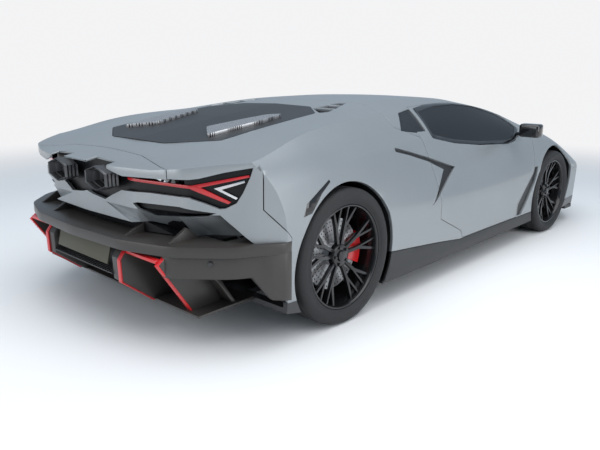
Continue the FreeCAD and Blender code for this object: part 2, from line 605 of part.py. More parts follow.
dash.Shape = dash.Shape.cut(Part.makeCylinder(22.3, 300, WHEEL_CENTRE - WHEEL_LEAN * 130, WHEEL_LEAN))
solid_node("steering_wheel", steering_wheel)

# Headlamps: plain lenses set in the front bumper's corners
lamp = hull(3).cut(hull(SKIN - 2)).common(top_prism(((2050, 560), (2240, 470), (2200, 640), (2060, 740)), 300, FAR))
bumper_node = nodes[[thing.Label for thing in nodes].index("front_bumper")]
fender_node = nodes[[thing.Label for thing in nodes].index("front_fenders")]
lamp_hole = top_prism(((2050, 560), (2240, 470), (2200, 640), (2060, 740)), 300, FAR, SEAM)
for panel in (bumper_node, fender_node):
    panel.Shape = solids_of(panel.Shape.cut([lamp_hole, mirrored(lamp_hole)]))
solid_node("headlamps", solids_of(Part.makeCompound([lamp, mirrored(lamp)])))

# Front splitter: a flat blade under the nose
SPLITTER = ((1150, 0), (1115, 330), (1005, 620), (830, 815), (590, 945), (440, 945), (440, 0))
splitter = top_prism(from_axle(FRONT_AXLE, SPLITTER), 124, SILL + 12 - SEAM)
solid_node("front_splitter", solids_of(whole(splitter.cut([front_arch]).cut(outer))))

# Arch liners
def liner(axle, height, radius, bay):
    drum = Part.makeCylinder(radius + size("liner_thickness"), 1200 - bay, Vector(axle, bay, height), Vector(0, 1, 0))
    hollow = Part.makeCylinder(radius, 1400, Vector(axle, bay - 1, height), Vector(0, 1, 0))
    return drum.cut(hollow).cut(box(-FAR, FAR, 0, 1200, 0, height - 60))


front_liner = liner(FRONT_AXLE, FRONT_AXLE_HEIGHT, FRONT_ARCH + 8, FRONT_BAY + 4).common(hull(SKIN + SEAM))
rear_liner = liner(REAR_AXLE, REAR_AXLE_HEIGHT, REAR_ARCH + 6, REAR_BAY + 4).common(hull(SKIN + SEAM))
solid_node("arch_liners", Part.makeCompound([front_liner, mirrored(front_liner), rear_liner, mirrored(rear_liner)]))

# Suspension: arms from the rails to the uprights
KINGPIN_Y = size("front_wheel_centre") - size("kingpin_inset")
PIN = size("kingpin_radius")


def arm(axle, height, inner_y, outer_y, spread):
    outline = ((axle, outer_y + 22), (axle - 22, outer_y), (axle - spread - 20, inner_y), (axle - spread + 20, inner_y),
               (axle, outer_y - 50), (axle + spread - 20, inner_y), (axle + spread + 20, inner_y), (axle + 22, outer_y))
    return top_prism(outline, height - 11, height + 11)


front_arms = []
for rise in (-150, 150):
    bar = arm(FRONT_AXLE, FRONT_AXLE_HEIGHT + rise, 507, KINGPIN_Y, 150)
    bore = Part.makeCylinder(PIN + size("pin_clearance"), 60, Vector(FRONT_AXLE, KINGPIN_Y, FRONT_AXLE_HEIGHT + rise - 30))
    front_arms.append(bar.cut(bore))
tower = box(FRONT_AXLE - 180, FRONT_AXLE + 180, 490 + SEAM, 508, 183, 530)
front_arms = front_arms[0].fuse([front_arms[1], tower])
solid_node("front_suspension", solids_of(Part.makeCompound([front_arms, mirrored(front_arms)])))

# Wheels, brakes and uprights, in their own frame: axle along +Y, outboard at +Y
def make_tyre(name, label, placement):
    """Tyre turned from its section: bore, two sidewalls and a flat tread."""
    body = new_body(label, placement)
    cells = {"r": "sizes.%s_tyre_radius" % name, "w": "sizes.%s_tyre_width / 2" % name, "b": "sizes.%s_rim_radius - 6" % name}
    corners = [("-({w}) + 14", "{b}"), ("-({w})", "{r}"), ("{w}", "{r}"), ("{w} - 14", "{b}")]
    revolved(body, [(y.format(**cells), r.format(**cells)) for y, r in corners])
    return body


# One forked spoke, right half of a pair: distance from the pair's centre line and from the axle;
# the corners with no second number end in the rim's barrel
FORK = ((3, 50), (23, 50), (45, 150), (100, None), (84, None), (37, 176), (37, None), (22, None), (22, 150))


def make_rim(name, label, placement):
    """Wheel: a turned barrel, a hub and a ring of paired forked spokes."""
    body = new_body(label, placement)
    cells = {"r": "sizes.%s_rim_radius" % name, "w": "(sizes.%s_tyre_width / 2 - 14)" % name, "s": str(SEAM)}
    corners = [("-{w}", "{r} - 6 - {s}"), ("{w}", "{r} - 6 - {s}"), ("{w}", "{r} - 22"), ("{w} - 40", "{r} - 28"), ("-{w}", "{r} - 28")]
    revolved(body, [(y.format(**cells), r.format(**cells)) for y, r in corners])
    face_at = "-(sizes.%s_tyre_width / 2 - sizes.spoke_set)" % name
    hub_sketch = sketch_in(body, "XZ_Plane", [], face_at)
    hub_sketch.addGeometry(Part.Circle(Vector(), Vector(0, 0, 1), size("hub_radius")), False)
    hub_sketch.addConstraint(Sketcher.Constraint("Coincident", 0, 3, -1, 1))
    across = hub_sketch.addConstraint(Sketcher.Constraint("Radius", 0, size("hub_radius")))
    hub_sketch.setExpression("Constraints[%d]" % across, "sizes.hub_radius")
    hub = body.newObject("PartDesign::Pad", body.Name + "_hub")
    hub.Profile = hub_sketch
    hub.Length = 30
    hub.Reversed = True
    loops = []
    for side in (1, -1):
        ends = [(str(side * x), str(z) if z else "sqrt(({r} - 16)^2 - {x}^2)".format(r=cells["r"], x=x)) for x, z in FORK]
        loops.append(ends)
    spokes = body.newObject("PartDesign::Pad", body.Name + "_spokes")
    spokes.Profile = sketch_in(body, "XZ_Plane", loops, face_at + " - 2")
    spokes.setExpression("Length", "sizes.spoke_depth")
    spokes.Reversed = True
    ring = body.newObject("PartDesign::PolarPattern", body.Name + "_ring")
    ring.Originals = [spokes]
    axis = [thing for thing in body.Origin.OriginFeatures if thing.Role == "Y_Axis"][0]
    ring.Axis = (axis, [""])
    ring.Angle = 360
    ring.setExpression("Occurrences", "sizes.spoke_groups")
    body.Tip = ring
    return body


def make_disc(radius, disc_y, hub_face, spindle_end):
    plate = Part.makeCylinder(radius, size("disc_thickness"), Vector(0, disc_y, 0), Vector(0, 1, 0))
    bell = Part.makeCylinder(size("hub_radius") - 2, hub_face - disc_y, Vector(0, disc_y, 0), Vector(0, 1, 0))
    spindle = Part.makeCylinder(28, disc_y - spindle_end, Vector(0, spindle_end, 0), Vector(0, 1, 0))
    return plate.fuse([bell, spindle])


def make_caliper(radius, disc_y, turn):
    low = disc_y - 22
    high = disc_y + size("disc_thickness") + 16
    ring = Part.makeCylinder(radius + 22, high - low, Vector(0, low, 0), Vector(0, 1, 0))
    ring = ring.cut(Part.makeCylinder(radius - 75, 300, Vector(0, low - 1, 0), Vector(0, 1, 0)))
    ring = ring.cut(Part.makeCylinder(radius + 5, size("disc_thickness") + 12, Vector(0, disc_y - 6, 0), Vector(0, 1, 0)))
    sector = side_prism(((0, 0), (-180, 400), (180, 400)), low - 10, high + 10)
    block = ring.common(sector)
    block.rotate(Vector(0, 0, 0), Vector(0, 1, 0), turn)
    return block


def make_upright(disc_y, inner_y, reach):
    hub = Part.makeCylinder(62, 60, Vector(0, inner_y, 0), Vector(0, 1, 0))
    post = box(-26, 26, inner_y, inner_y + 40, -reach, reach)
    bore = Part.makeCylinder(28.3, 400, Vector(0, inner_y - 100, 0), Vector(0, 1, 0))
    return hub.fuse(post).cut(bore)


CORNERS = (
    # name, axle, height, centre, radius, width, rim, disc radius
    ("front", FRONT_AXLE, FRONT_AXLE_HEIGHT, size("front_wheel_centre"), size("front_tyre_radius"),
     size("front_tyre_width"), size("front_rim_radius"), size("front_disc_radius")),
    ("rear", REAR_AXLE, REAR_AXLE_HEIGHT, size("rear_wheel_centre"), size("rear_tyre_radius"),
     size("rear_tyre_width"), size("rear_rim_radius"), size("rear_disc_radius")),
)
for name, axle, height, centre, radius, width, rim, disc_radius in CORNERS:
    hub_face = width / 2 - size("spoke_set")
    disc_y = hub_face - 62
    back = disc_y - 10
    at = Placement(Vector(axle, centre, height), Rotation())
    for side, turned, sign in (("left", 0, 1), ("right", 180, -1)):
        there = Placement(Vector(axle, sign * centre, height), Rotation(Vector(0, 0, 1), turned))
        keep(make_tyre(name, "tyre_%s_%s" % (name, side), there), "tyre_%s_%s" % (name, side))
        keep(make_rim(name, "rim_%s_%s" % (name, side), there), "rim_%s_%s" % (name, side))
        disc = make_disc(disc_radius, disc_y, hub_face, back - 70)
        disc.Placement = there
        solid_node("disc_%s_%s" % (name, side), disc)
    caliper = make_caliper(disc_radius, disc_y, 90 if name == "rear" else -90)
    upright = make_upright(disc_y, back - 60, 150)
    ear_reach = disc_radius - 30
    ear_turn = 1 if name == "rear" else -1
    ear = box(min(40 * ear_turn, ear_reach * ear_turn), max(40 * ear_turn, ear_reach * ear_turn), back - 40, disc_y - 22, -30, 30)
    caliper.Placement = at.multiply(caliper.Placement)
    if name == "front":
        pin_local = -size("kingpin_inset")
        post = box(-26, 26, back - 60, -size("kingpin_inset") + 14, -120, 120)
        pin = Part.makeCylinder(PIN, 340, Vector(0, pin_local, -170))
        bore = Part.makeCylinder(28.3, 400, Vector(0, back - 160, 0), Vector(0, 1, 0))
        knuckle = Part.makeCylinder(62, 60, Vector(0, back - 60, 0), Vector(0, 1, 0)).fuse([pin, post, ear]).cut(bore)
        knuckle.Placement = at
        solid_node("knuckle_left", knuckle)
        solid_node("knuckle_right", mirrored(knuckle))
        solid_node("caliper_front_left", caliper)
        solid_node("caliper_front_right", mirrored(caliper))
    else:
        upright = upright.fuse(ear)
        upright.Placement = at
        lower = arm(axle, height - 140, 399, centre + back - 40, 200)
        upper = arm(axle, height + 140, 399, centre + back - 40, 200)
        rear_tower = box(axle - 230, axle + 230, 380 + SEAM, 400, 205, 560)
        group = upright.fuse([lower, upper, rear_tower])
        solid_node("rear_suspension", solids_of(Part.makeCompound([group, mirrored(group)])))
        solid_node("rear_calipers", solids_of(Part.makeCompound([caliper, mirrored(caliper)])))

doc.recompute()
os.makedirs("parts", exist_ok=True)
for thing in nodes:
    if any(word in thing.State for word in ("Invalid", "Error")):
        raise RuntimeError(thing.Label + " failed")
    if thing.Shape.isNull() or not thing.Shape.isValid():
        raise RuntimeError(thing.Label + " has a bad shape")
for thing in nodes:
    thing.Shape.exportStep("parts/" + thing.Label + ".step")
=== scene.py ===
import math
import bpy
import bmesh
from functools import partial
from mathutils import Matrix, Vector


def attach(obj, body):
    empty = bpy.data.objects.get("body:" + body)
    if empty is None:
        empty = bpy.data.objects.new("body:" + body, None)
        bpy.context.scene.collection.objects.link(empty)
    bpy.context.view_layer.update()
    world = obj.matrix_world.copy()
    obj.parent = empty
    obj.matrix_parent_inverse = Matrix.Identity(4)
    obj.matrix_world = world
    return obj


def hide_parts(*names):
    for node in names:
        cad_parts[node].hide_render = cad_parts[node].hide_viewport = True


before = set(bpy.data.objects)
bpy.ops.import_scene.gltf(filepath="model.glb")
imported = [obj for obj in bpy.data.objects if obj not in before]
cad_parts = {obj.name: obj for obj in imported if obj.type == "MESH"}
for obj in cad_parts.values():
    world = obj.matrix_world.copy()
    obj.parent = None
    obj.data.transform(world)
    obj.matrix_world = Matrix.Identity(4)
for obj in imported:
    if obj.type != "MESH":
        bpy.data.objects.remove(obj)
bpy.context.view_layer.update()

# The car stands on a pale studio floor that runs on into a pale backdrop, and
# a large soft box above with two weaker ones beside it light it evenly. The
# camera looks at its right rear corner from a little above the roof.
CAMERA_PLACE = Vector((-3.8463, -2.8963, 1.2937))
CAMERA_YAW = 0.755
CAMERA_PITCH = -0.243
CAMERA_ROLL = 0.008
FOCAL_PIXELS = 605.56
PICTURE_WIDTH = 600
SKY_COLOUR = (0.62, 0.76, 0.92, 1.0)
SKY_STRENGTH = 0.55
FLOOR_COLOUR = (0.8, 0.8, 0.8, 1.0)
FLOOR_RADIUS = 60.0
FADE_FROM = 3.6
FADE_TO = 9.0
PALE_BACK = (0.9, 0.9, 0.91, 1.0)
# name, place, size and power of each soft box
SOFT_BOXES = (("soft_box_above", (-1.5, -1.5, 5.5), 7.0, 360.0),
              ("soft_box_behind", (-8.0, 1.5, 3.0), 5.0, 150.0),
              ("soft_box_right", (0.5, -7.5, 2.8), 5.0, 240.0))
LIT_POINT = Vector((0, 0, 0.5))

scene = bpy.context.scene
scene.view_settings.view_transform = "Standard"

world = bpy.data.worlds.new("soft_studio")
world.use_nodes = True
links = world.node_tree.links
nodes = world.node_tree.nodes
studio_light = nodes["Background"]
studio_light.inputs["Color"].default_value = SKY_COLOUR
studio_light.inputs["Strength"].default_value = SKY_STRENGTH
pale_back = nodes.new("ShaderNodeBackground")
pale_back.inputs["Color"].default_value = PALE_BACK
rays = nodes.new("ShaderNodeLightPath")
chosen = nodes.new("ShaderNodeMixShader")
links.new(rays.outputs["Is Camera Ray"], chosen.inputs["Fac"])
links.new(studio_light.outputs["Background"], chosen.inputs[1])
links.new(pale_back.outputs["Background"], chosen.inputs[2])
links.new(chosen.outputs["Shader"], nodes["World Output"].inputs["Surface"])
scene.world = world

camera_data = bpy.data.cameras.new("camera")
camera_data.sensor_width = 36.0
camera_data.lens = FOCAL_PIXELS * camera_data.sensor_width / PICTURE_WIDTH
camera_data.clip_end = 200.0
camera = bpy.data.objects.new("camera", camera_data)
scene.collection.objects.link(camera)
looking = Vector((math.cos(CAMERA_PITCH) * math.cos(CAMERA_YAW),
                  math.cos(CAMERA_PITCH) * math.sin(CAMERA_YAW), math.sin(CAMERA_PITCH)))
level_right = looking.cross(Vector((0, 0, 1))).normalized()
level_up = level_right.cross(looking)
right = level_right * math.cos(CAMERA_ROLL) + level_up * math.sin(CAMERA_ROLL)
turned_camera = Matrix((right, right.cross(looking), -looking)).transposed().to_4x4()
camera.matrix_world = Matrix.Translation(CAMERA_PLACE) @ turned_camera
scene.camera = camera

for lamp_name, place, size, power in SOFT_BOXES:
    lamp_data = bpy.data.lights.new(lamp_name, "AREA")
    lamp_data.size = size
    lamp_data.energy = power
    lamp = bpy.data.objects.new(lamp_name, lamp_data)
    lamp.location = place
    lamp.rotation_euler = (LIT_POINT - Vector(place)).to_track_quat("-Z", "Y").to_euler()
    scene.collection.objects.link(lamp)

floor_finish = bpy.data.materials.new("pale_floor")
floor_finish.use_nodes = True
nodes = floor_finish.node_tree.nodes
links = floor_finish.node_tree.links
nodes["Principled BSDF"].inputs["Base Color"].default_value = FLOOR_COLOUR
nodes["Principled BSDF"].inputs["Roughness"].default_value = 0.75
place = nodes.new("ShaderNodeTexCoord")
reach = nodes.new("ShaderNodeVectorMath")
reach.operation = "LENGTH"
fade = nodes.new("ShaderNodeMapRange")
fade.inputs["From Min"].default_value = FADE_FROM
fade.inputs["From Max"].default_value = FADE_TO
fade.interpolation_type = "SMOOTHSTEP"
pale = nodes.new("ShaderNodeEmission")
pale.inputs["Color"].default_value = PALE_BACK
blend = nodes.new("ShaderNodeMixShader")
links.new(place.outputs["Object"], reach.inputs[0])
links.new(reach.outputs["Value"], fade.inputs["Value"])
links.new(fade.outputs["Result"], blend.inputs["Fac"])
links.new(nodes["Principled BSDF"].outputs["BSDF"], blend.inputs[1])
links.new(pale.outputs["Emission"], blend.inputs[2])
links.new(blend.outputs["Shader"], nodes["Material Output"].inputs["Surface"])
floor_mesh = bpy.data.meshes.new("floor")
shape = bmesh.new()
bmesh.ops.create_circle(shape, cap_ends=True, segments=96, radius=FLOOR_RADIUS)
shape.to_mesh(floor_mesh)
shape.free()
floor_mesh.materials.append(floor_finish)
floor = bpy.data.objects.new("floor", floor_mesh)
scene.collection.objects.link(floor)

# The body's outer skin: one smooth form through cross-sections along the car,
# creased at sill, waist, shoulder and deck edge, from which each pressed panel is
# then cut. Painted aluminium and plastic panels, satin grey.
REAR_AXLE = -1.4635
FRONT_AXLE = 1.3155
HALF_WIDTH = 1.0165
# axle, along, then inset and height of sill, waist, belt, rail and deck, height of the crown
SECTIONS = (
    (REAR_AXLE, -1.01, (0.086, 0.33), (0.016, 0.52), (0.031, 0.74), (0.076, 0.885), (0.48, 0.842), 0.89),
    (REAR_AXLE, -0.582, (0.041, 0.2), (0.004, 0.54), (0.026, 0.76), (0.091, 0.901), (0.386, 0.945), 0.958),
    (REAR_AXLE, -0.3, (0.026, 0.15), (0.0, 0.58), (0.038, 0.83), (0.15, 0.996), (0.401, 0.995), 1.003),
    (REAR_AXLE, 0.0, (0.016, 0.14), (0.0, 0.6), (0.054, 0.86), (0.214, 1.036), (0.416, 1.04), 1.05),
    (REAR_AXLE, 0.363, (0.016, 0.14), (0.008, 0.56), (0.091, 0.875), (0.289, 1.057), (0.426, 1.085), 1.1),
    (REAR_AXLE, 0.683, (0.026, 0.14), (0.023, 0.54), (0.156, 0.9), (0.351, 1.066), (0.496, 1.125), 1.141),
    (REAR_AXLE, 1.057, (0.031, 0.14), (0.031, 0.535), (0.226, 0.905), (0.404, 1.085), (0.566, 1.138), 1.152),
    (FRONT_AXLE, -1.149, (0.046, 0.14), (0.031, 0.53), (0.149, 0.821), (0.43, 1.118), (0.596, 1.15), 1.16),
    (FRONT_AXLE, -0.615, (0.051, 0.145), (0.031, 0.54), (0.121, 0.8), (0.361, 1.048), (0.576, 1.078), 1.09),
    (FRONT_AXLE, -0.315, (0.054, 0.148), (0.026, 0.57), (0.126, 0.83), (0.231, 0.9), (0.516, 0.965), 0.985),
    (FRONT_AXLE, 0.0, (0.056, 0.15), (0.016, 0.6), (0.061, 0.765), (0.216, 0.852), (0.496, 0.852), 0.88),
    (FRONT_AXLE, 0.325, (0.061, 0.155), (0.016, 0.56), (0.081, 0.66), (0.216, 0.75), (0.506, 0.775), 0.8),
    (FRONT_AXLE, 0.785, (0.096, 0.152), (0.061, 0.43), (0.136, 0.52), (0.236, 0.565), (0.546, 0.62), 0.655),
    (FRONT_AXLE, 1.158, (0.176, 0.152), (0.156, 0.33), (0.216, 0.39), (0.326, 0.415), (0.636, 0.45), 0.475),
)
SIDE_BULGE = 0.014
SHOULDER_BULGE = 0.01
# crease of the line through each corner of a half section, floor to crown
CREASES = (0.0, 1.0, 0.8, 0.0, 0.7, 0.0, 1.0, 0.85, 0.0)
SKIN_LEVELS = 3
PANEL_THICKNESS = 0.018
PANEL_EDGE = 0.0022
MERGE_WITHIN = 0.0003
PANEL_FOLD = 60
SMOOTH_BELOW = 34
SHARPEST_CORNER = 0.35
ROUND_STEPS = 5
WIDE = 1.3
AXES = {"side": ((1, 0, 0), (0, 0, 1), (0, 1, 0)), "top": ((1, 0, 0), (0, 1, 0), (0, 0, 1)),
        "front": ((0, 1, 0), (0, 0, 1), (1, 0, 0))}
# Rear edge and nose seen from above, left half, each from the centre outwards
TAIL_LIP = ((-0.962, 0), (-0.955, 0.235), (-0.94, 0.344), (-0.885, 0.556), (-0.83, 0.706), (-0.764, 0.77),
            (-0.682, 0.84), (-0.599, 0.912), (-0.56, 0.95), (-0.43, 1.04))
NOSE = ((1.158, 0), (1.12, 0.33), (1.01, 0.62), (0.83, 0.82), (0.59, 0.955), (0.38, 1.04))
# axle, height and radius of the front and rear wheel arches
ARCHES = ((FRONT_AXLE, 0.346, 0.394), (REAR_AXLE, 0.368, 0.401))
ARCH_INNER = 0.52
ABOVE_ALL = 2
BEHIND_ALL = -3
PLAN_ROUND = 0.06
scratch = []


def section_corners(sill, waist, belt, rail, deck, crown, inset):
    """Left half of one cross-section as (y, z) pairs from the floor's middle to the crown."""
    corners = [(HALF_WIDTH - across - inset, height) for across, height in (sill, waist, belt, rail, deck)]
    sill_at, waist_at, belt_at, rail_at, deck_at = corners
    sill_at = (sill_at[0], sill_at[1] + inset)
    rail_at = (rail_at[0], rail_at[1] - 0.75 * inset)
    deck_at = (deck_at[0], deck_at[1] - inset)
    side_mid = ((waist_at[0] + belt_at[0]) / 2 + SIDE_BULGE, (waist_at[1] + belt_at[1]) / 2)
    shoulder_mid = ((belt_at[0] + rail_at[0]) / 2 + SHOULDER_BULGE,
                    (belt_at[1] + rail_at[1]) / 2 + SHOULDER_BULGE)
    return [(0.0, sill_at[1]), sill_at, waist_at, side_mid, belt_at, shoulder_mid, rail_at, deck_at,
            (0.0, crown - inset)]


def held_shape(name, shape, slot):
    """Scratch object from a bmesh, its faces marked by their material slot: 0 skin, 1 cut."""
    mesh = bpy.data.meshes.new(name)
    for face in shape.faces:
        face.material_index = slot
    shape.to_mesh(mesh)
    shape.free()
    mesh.materials.append(None)
    mesh.materials.append(None)
    held = bpy.data.objects.new(name, mesh)
    scene.collection.objects.link(held)
    scratch.append(held)
    return held


def settled(held):
    """The same object with its modifiers applied."""
    bpy.context.view_layer.update()
    mesh = bpy.data.meshes.new_from_object(held.evaluated_get(bpy.context.evaluated_depsgraph_get()))
    held.modifiers.clear()
    held.data = mesh
    return held


def body_form(name, inset=0.0):
    """Closed smooth form of the whole body, or one that lies inside it by the inset."""
    shape = bmesh.new()
    crease = shape.edges.layers.float.new("crease_edge")
    rings = []
    for axle, along, sill, waist, belt, rail, deck, crown in SECTIONS:
        half = section_corners(sill, waist, belt, rail, deck, crown, inset)
        places = [(axle + along, y, z) for y, z in half]
        places += [(axle + along, -y, z) for y, z in half[-2:0:-1]]
        corners = [shape.verts.new(place) for place in places]
        rings.append([shape.edges.new(ends) for ends in zip(corners, corners[1:] + corners[:1])])
    for ring, following in zip(rings, rings[1:]):
        bmesh.ops.bridge_loops(shape, edges=ring + following)
    bmesh.ops.holes_fill(shape, edges=shape.edges)
    bmesh.ops.recalc_face_normals(shape, faces=shape.faces)
    weights = list(CREASES) + list(CREASES[-2:0:-1])
    count = len(weights)
    for edge in shape.edges:
        first, last = sorted(vert.index for vert in edge.verts)
        if first // count != last // count and first % count == last % count:
            edge[crease] = weights[first % count]
    for edge in rings[0] + rings[-1]:
        edge[crease] = 1.0
    rough = held_shape(name, shape, 0)
    rounding = rough.modifiers.new("rounding", "SUBSURF")
    rounding.levels = SKIN_LEVELS
    rounding.render_levels = SKIN_LEVELS
    return settled(rough)


def grown(outline, distance):
    """Closed outline moved outwards by a distance, corner by corner."""
    count = len(outline)
    area = sum(outline[n][0] * outline[(n + 1) % count][1] - outline[(n + 1) % count][0] * outline[n][1]
               for n in range(count))
    side = 1.0 if area > 0 else -1.0
    moved = []
    for n in range(count):
        here = Vector(outline[n])
        before = (here - Vector(outline[n - 1])).normalized()
        after = (Vector(outline[(n + 1) % count]) - here).normalized()
        out_before = Vector((before.y, -before.x)) * side
        out_after = Vector((after.y, -after.x)) * side
        corner = out_before + out_after
        moved.append(here + corner * (distance / max(SHARPEST_CORNER, 1 + out_before.dot(out_after))))
    return [tuple(place) for place in moved]


def add_plate(shape, seen, outline, low, high, side=1):
    """Adds a flat plate over an outline seen from the side, top or front, between two planes;
    a side of -1 mirrors it to the car's right. Returns the corners of its far face."""
    first, second, through = (Vector(axis) for axis in AXES[seen])
    first.y *= side
    second.y *= side
    if seen == "side":
        low, high = sorted((side * low, side * high))
    face = shape.faces.new([shape.verts.new(first * u + second * v + through * low) for u, v in outline])
    lifted = bmesh.ops.extrude_face_region(shape, geom=[face])["geom"]
    made = [item for item in lifted if isinstance(item, bmesh.types.BMVert)]
    bmesh.ops.translate(shape, vec=through * (high - low), verts=made)
    return made


def block(seen, outline, low, high, grow=0.0, round_corners=0.0, slot=1, side=1):
    """Cutting block over an outline that may be grown and have its upright edges rounded."""
    shape = bmesh.new()
    add_plate(shape, seen, grown(outline, grow) if grow else outline, low, high, side)
    if round_corners:
        through = Vector(AXES[seen][2])
        upright = [edge for edge in shape.edges
                   if abs((edge.verts[0].co - edge.verts[1].co).dot(through)) > 0.5 * (high - low)]
        bmesh.ops.bevel(shape, geom=upright, offset=round_corners, offset_type="OFFSET",
                        segments=ROUND_STEPS, profile=0.5, affect="EDGES", material=-1,
                        clamp_overlap=True)
    bmesh.ops.recalc_face_normals(shape, faces=shape.faces)
    return held_shape("cutter", shape, slot)


def side_block(outline, grow=0.0, round_corners=0.0):
    """Cutting block over an outline seen from the side, through the whole car."""
    return block("side", outline, -WIDE, WIDE, grow, round_corners)


def both_sides(*given):
    """The same cutting block on the left and on the right."""
    return [block(*given, side=side) for side in (1, -1)]


def top_block(half, low, grow=0.0, round_corners=0.0):
    """Cutting block above a height over an outline seen from above, from its left half."""
    return block("top", both_halves(half), low, ABOVE_ALL, grow, round_corners)


def both_halves(half):
    """Outline symmetric about the centre line, from its left half as (x, y) pairs."""
    return list(half) + [(x, -y) for x, y in reversed(half) if y > 0]


def both_fronts(half):
    """The same for a left half seen from behind, as (y, z) pairs."""
    return list(half) + [(-y, z) for y, z in reversed(half) if y > 0]


def turn(shape, verts, degrees, axis):
    """Turns some corners about an axis through the origin."""
    bmesh.ops.rotate(shape, cent=(0, 0, 0), matrix=Matrix.Rotation(math.radians(degrees), 3, axis),
                     verts=verts)


def upright_cone(shape, segments, foot_radius, top_radius, height, place=(0, 0, 0)):
    """Adds a closed cone along Z, centred on its place, and returns its corners."""
    corners = bmesh.ops.create_cone(shape, cap_ends=True, segments=segments, radius1=foot_radius,
                                    radius2=top_radius, depth=height)["verts"]
    bmesh.ops.translate(shape, vec=place, verts=corners)
    return corners


def drum(axle, height, radius, low, high):
    """Cutting drum along Y round an axle."""
    shape = bmesh.new()
    turn(shape, upright_cone(shape, 120, radius, radius, high - low), 90, "X")
    bmesh.ops.translate(shape, vec=(axle, (low + high) / 2, height), verts=shape.verts)
    bmesh.ops.recalc_face_normals(shape, faces=shape.faces)
    return held_shape("cutter", shape, 1)


def carved(base, keeps=(), cuts=()):
    """Copy of a closed form, kept inside some blocks and cut by others."""
    held = bpy.data.objects.new("carved", base.data.copy())
    scene.collection.objects.link(held)
    scratch.append(held)
    for operation, cutters in (("INTERSECT", keeps), ("DIFFERENCE", cuts)):
        for cutter in cutters:
            step = held.modifiers.new("step", "BOOLEAN")
            step.operation = operation
            step.object = cutter
            step.solver = "EXACT"
    return settled(held)


def dressed(name, shape, body, finish, nodes, edge, edge_angle, smooth_angle, thickness=0.0):
    """A piece from a bmesh, with a wall and softened edges where asked, shaded by angle."""
    mesh = bpy.data.meshes.new(name)
    shape.to_mesh(mesh)
    shape.free()
    piece = bpy.data.objects.new(name, mesh)
    scene.collection.objects.link(piece)
    if thickness:
        wall = piece.modifiers.new("wall", "SOLIDIFY")
        wall.thickness = thickness
        wall.offset = -1.0
        wall.use_even_offset = False
    if edge:
        softened = piece.modifiers.new("softened", "BEVEL")
        softened.width = edge
        softened.segments = 2
        softened.limit_method = "ANGLE"
        softened.angle_limit = math.radians(edge_angle)
    settled(piece)
    piece.data.shade_smooth()
    piece.data.set_sharp_from_angle(angle=math.radians(smooth_angle))
    piece.data.materials.clear()
    piece.data.materials.append(finish)
    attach(piece, body)
    if nodes:
        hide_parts(*nodes)
    return piece


def pressed_panel(name, form, finish, node="", body="chassis", thickness=PANEL_THICKNESS, edge=PANEL_EDGE):
    """A panel from the uncut faces of a carved form, with its thickness and rounded edges."""
    shape = bmesh.new()
    shape.from_mesh(form.data)
    cut = [face for face in shape.faces if face.material_index == 1]
    bmesh.ops.delete(shape, geom=cut, context="FACES")
    bmesh.ops.remove_doubles(shape, verts=shape.verts, dist=MERGE_WITHIN)
    bmesh.ops.dissolve_degenerate(shape, dist=MERGE_WITHIN, edges=shape.edges)
    return dressed(name, shape, body, finish, [node] if node else [], edge, PANEL_FOLD, SMOOTH_BELOW,
                   thickness)


def car_plan(tail):
    """Outline of the car seen from above, with one of its tail shapes."""
    half = [(REAR_AXLE + x, y) for x, y in tail] + [(FRONT_AXLE + x, y) for x, y in reversed(NOSE)]
    return both_halves(half)


def car_block(tail, grow=0.0):
    """Block over the whole car seen from above, whose cut faces count as skin."""
    return block("top", car_plan(tail), 0, ABOVE_ALL, grow, PLAN_ROUND, 0)


skin = body_form("skin")
arches = [drum(axle, height, radius, low, high) for axle, height, radius in ARCHES
          for low, high in ((ARCH_INNER, WIDE), (-WIDE, -ARCH_INNER))]
body_shape = carved(skin, [car_block(TAIL_LIP)], arches)

# Roof skin with the windscreen posts, one pressing between the two doors, bonded
# to the tub and painted in body colour.
SEAM = 0.0028
SHUT = 0.0035
DOOR_INNER = 0.4
DOOR_ROUND = 0.012
DOOR_SIDE = ((-0.586, 0.529), (-0.541, 0.793), (-0.515, 0.925), (-0.515, 1.4), (0.985, 1.4), (0.985, 0.86),
             (0.95, 0.74), (0.885, 0.594), (0.64, 0.33), (0.65, 0.236), (-0.205, 0.236), (-0.235, 0.29),
             (-0.512, 0.415))
DOOR_TOP = ((-0.515, 1.1), (-0.515, 0.778), (-0.398, 0.77), (-0.385, 0.606), (-0.087, 0.588), (0.201, 0.576),
            (0.461, 0.6), (0.687, 0.652), (0.843, 0.705), (0.985, 0.775), (0.985, 1.1))
QUARTER_GLASS = ((-0.7, 0.968), (-0.56, 1.056), (-0.4, 1.074), (-0.402, 0.938), (-0.5, 0.945))
WINDSCREEN = ((1.33, 0), (1.285, 0.36), (1.1, 0.64), (0.985, 0.728), (0.843, 0.672), (0.687, 0.618),
              (0.47, 0.56), (0.395, 0.52), (0.35, 0.3), (0.34, 0))
ENGINE_COVER = ((-1.01, 0), (-1.01, 0.3), (-1.18, 0.5), (-1.9, 0.52), (-2.06, 0.25), (-2.07, 0))
ROOF_CUT = ((-0.76, 1.4), (-0.76, 0.99), (-0.515, 0.915), (-0.515, 0.86), (0.985, 0.83), (1.03, 0.83),
            (1.03, 1.4))
cover_hole = top_block(ENGINE_COVER, 0.8, SHUT, 0.03)
windscreen_hole = top_block(WINDSCREEN, 0.7, 0, 0.02)
quarter_hole = side_block(QUARTER_GLASS, 0.006, 0.008)
door_sides = both_sides("side", DOOR_SIDE, DOOR_INNER, WIDE, SHUT, DOOR_ROUND)
door_tops = both_sides("top", DOOR_TOP, 0.0, ABOVE_ALL, SHUT)
door_gaps = [carved(side, [top]) for side, top in zip(door_sides, door_tops)]


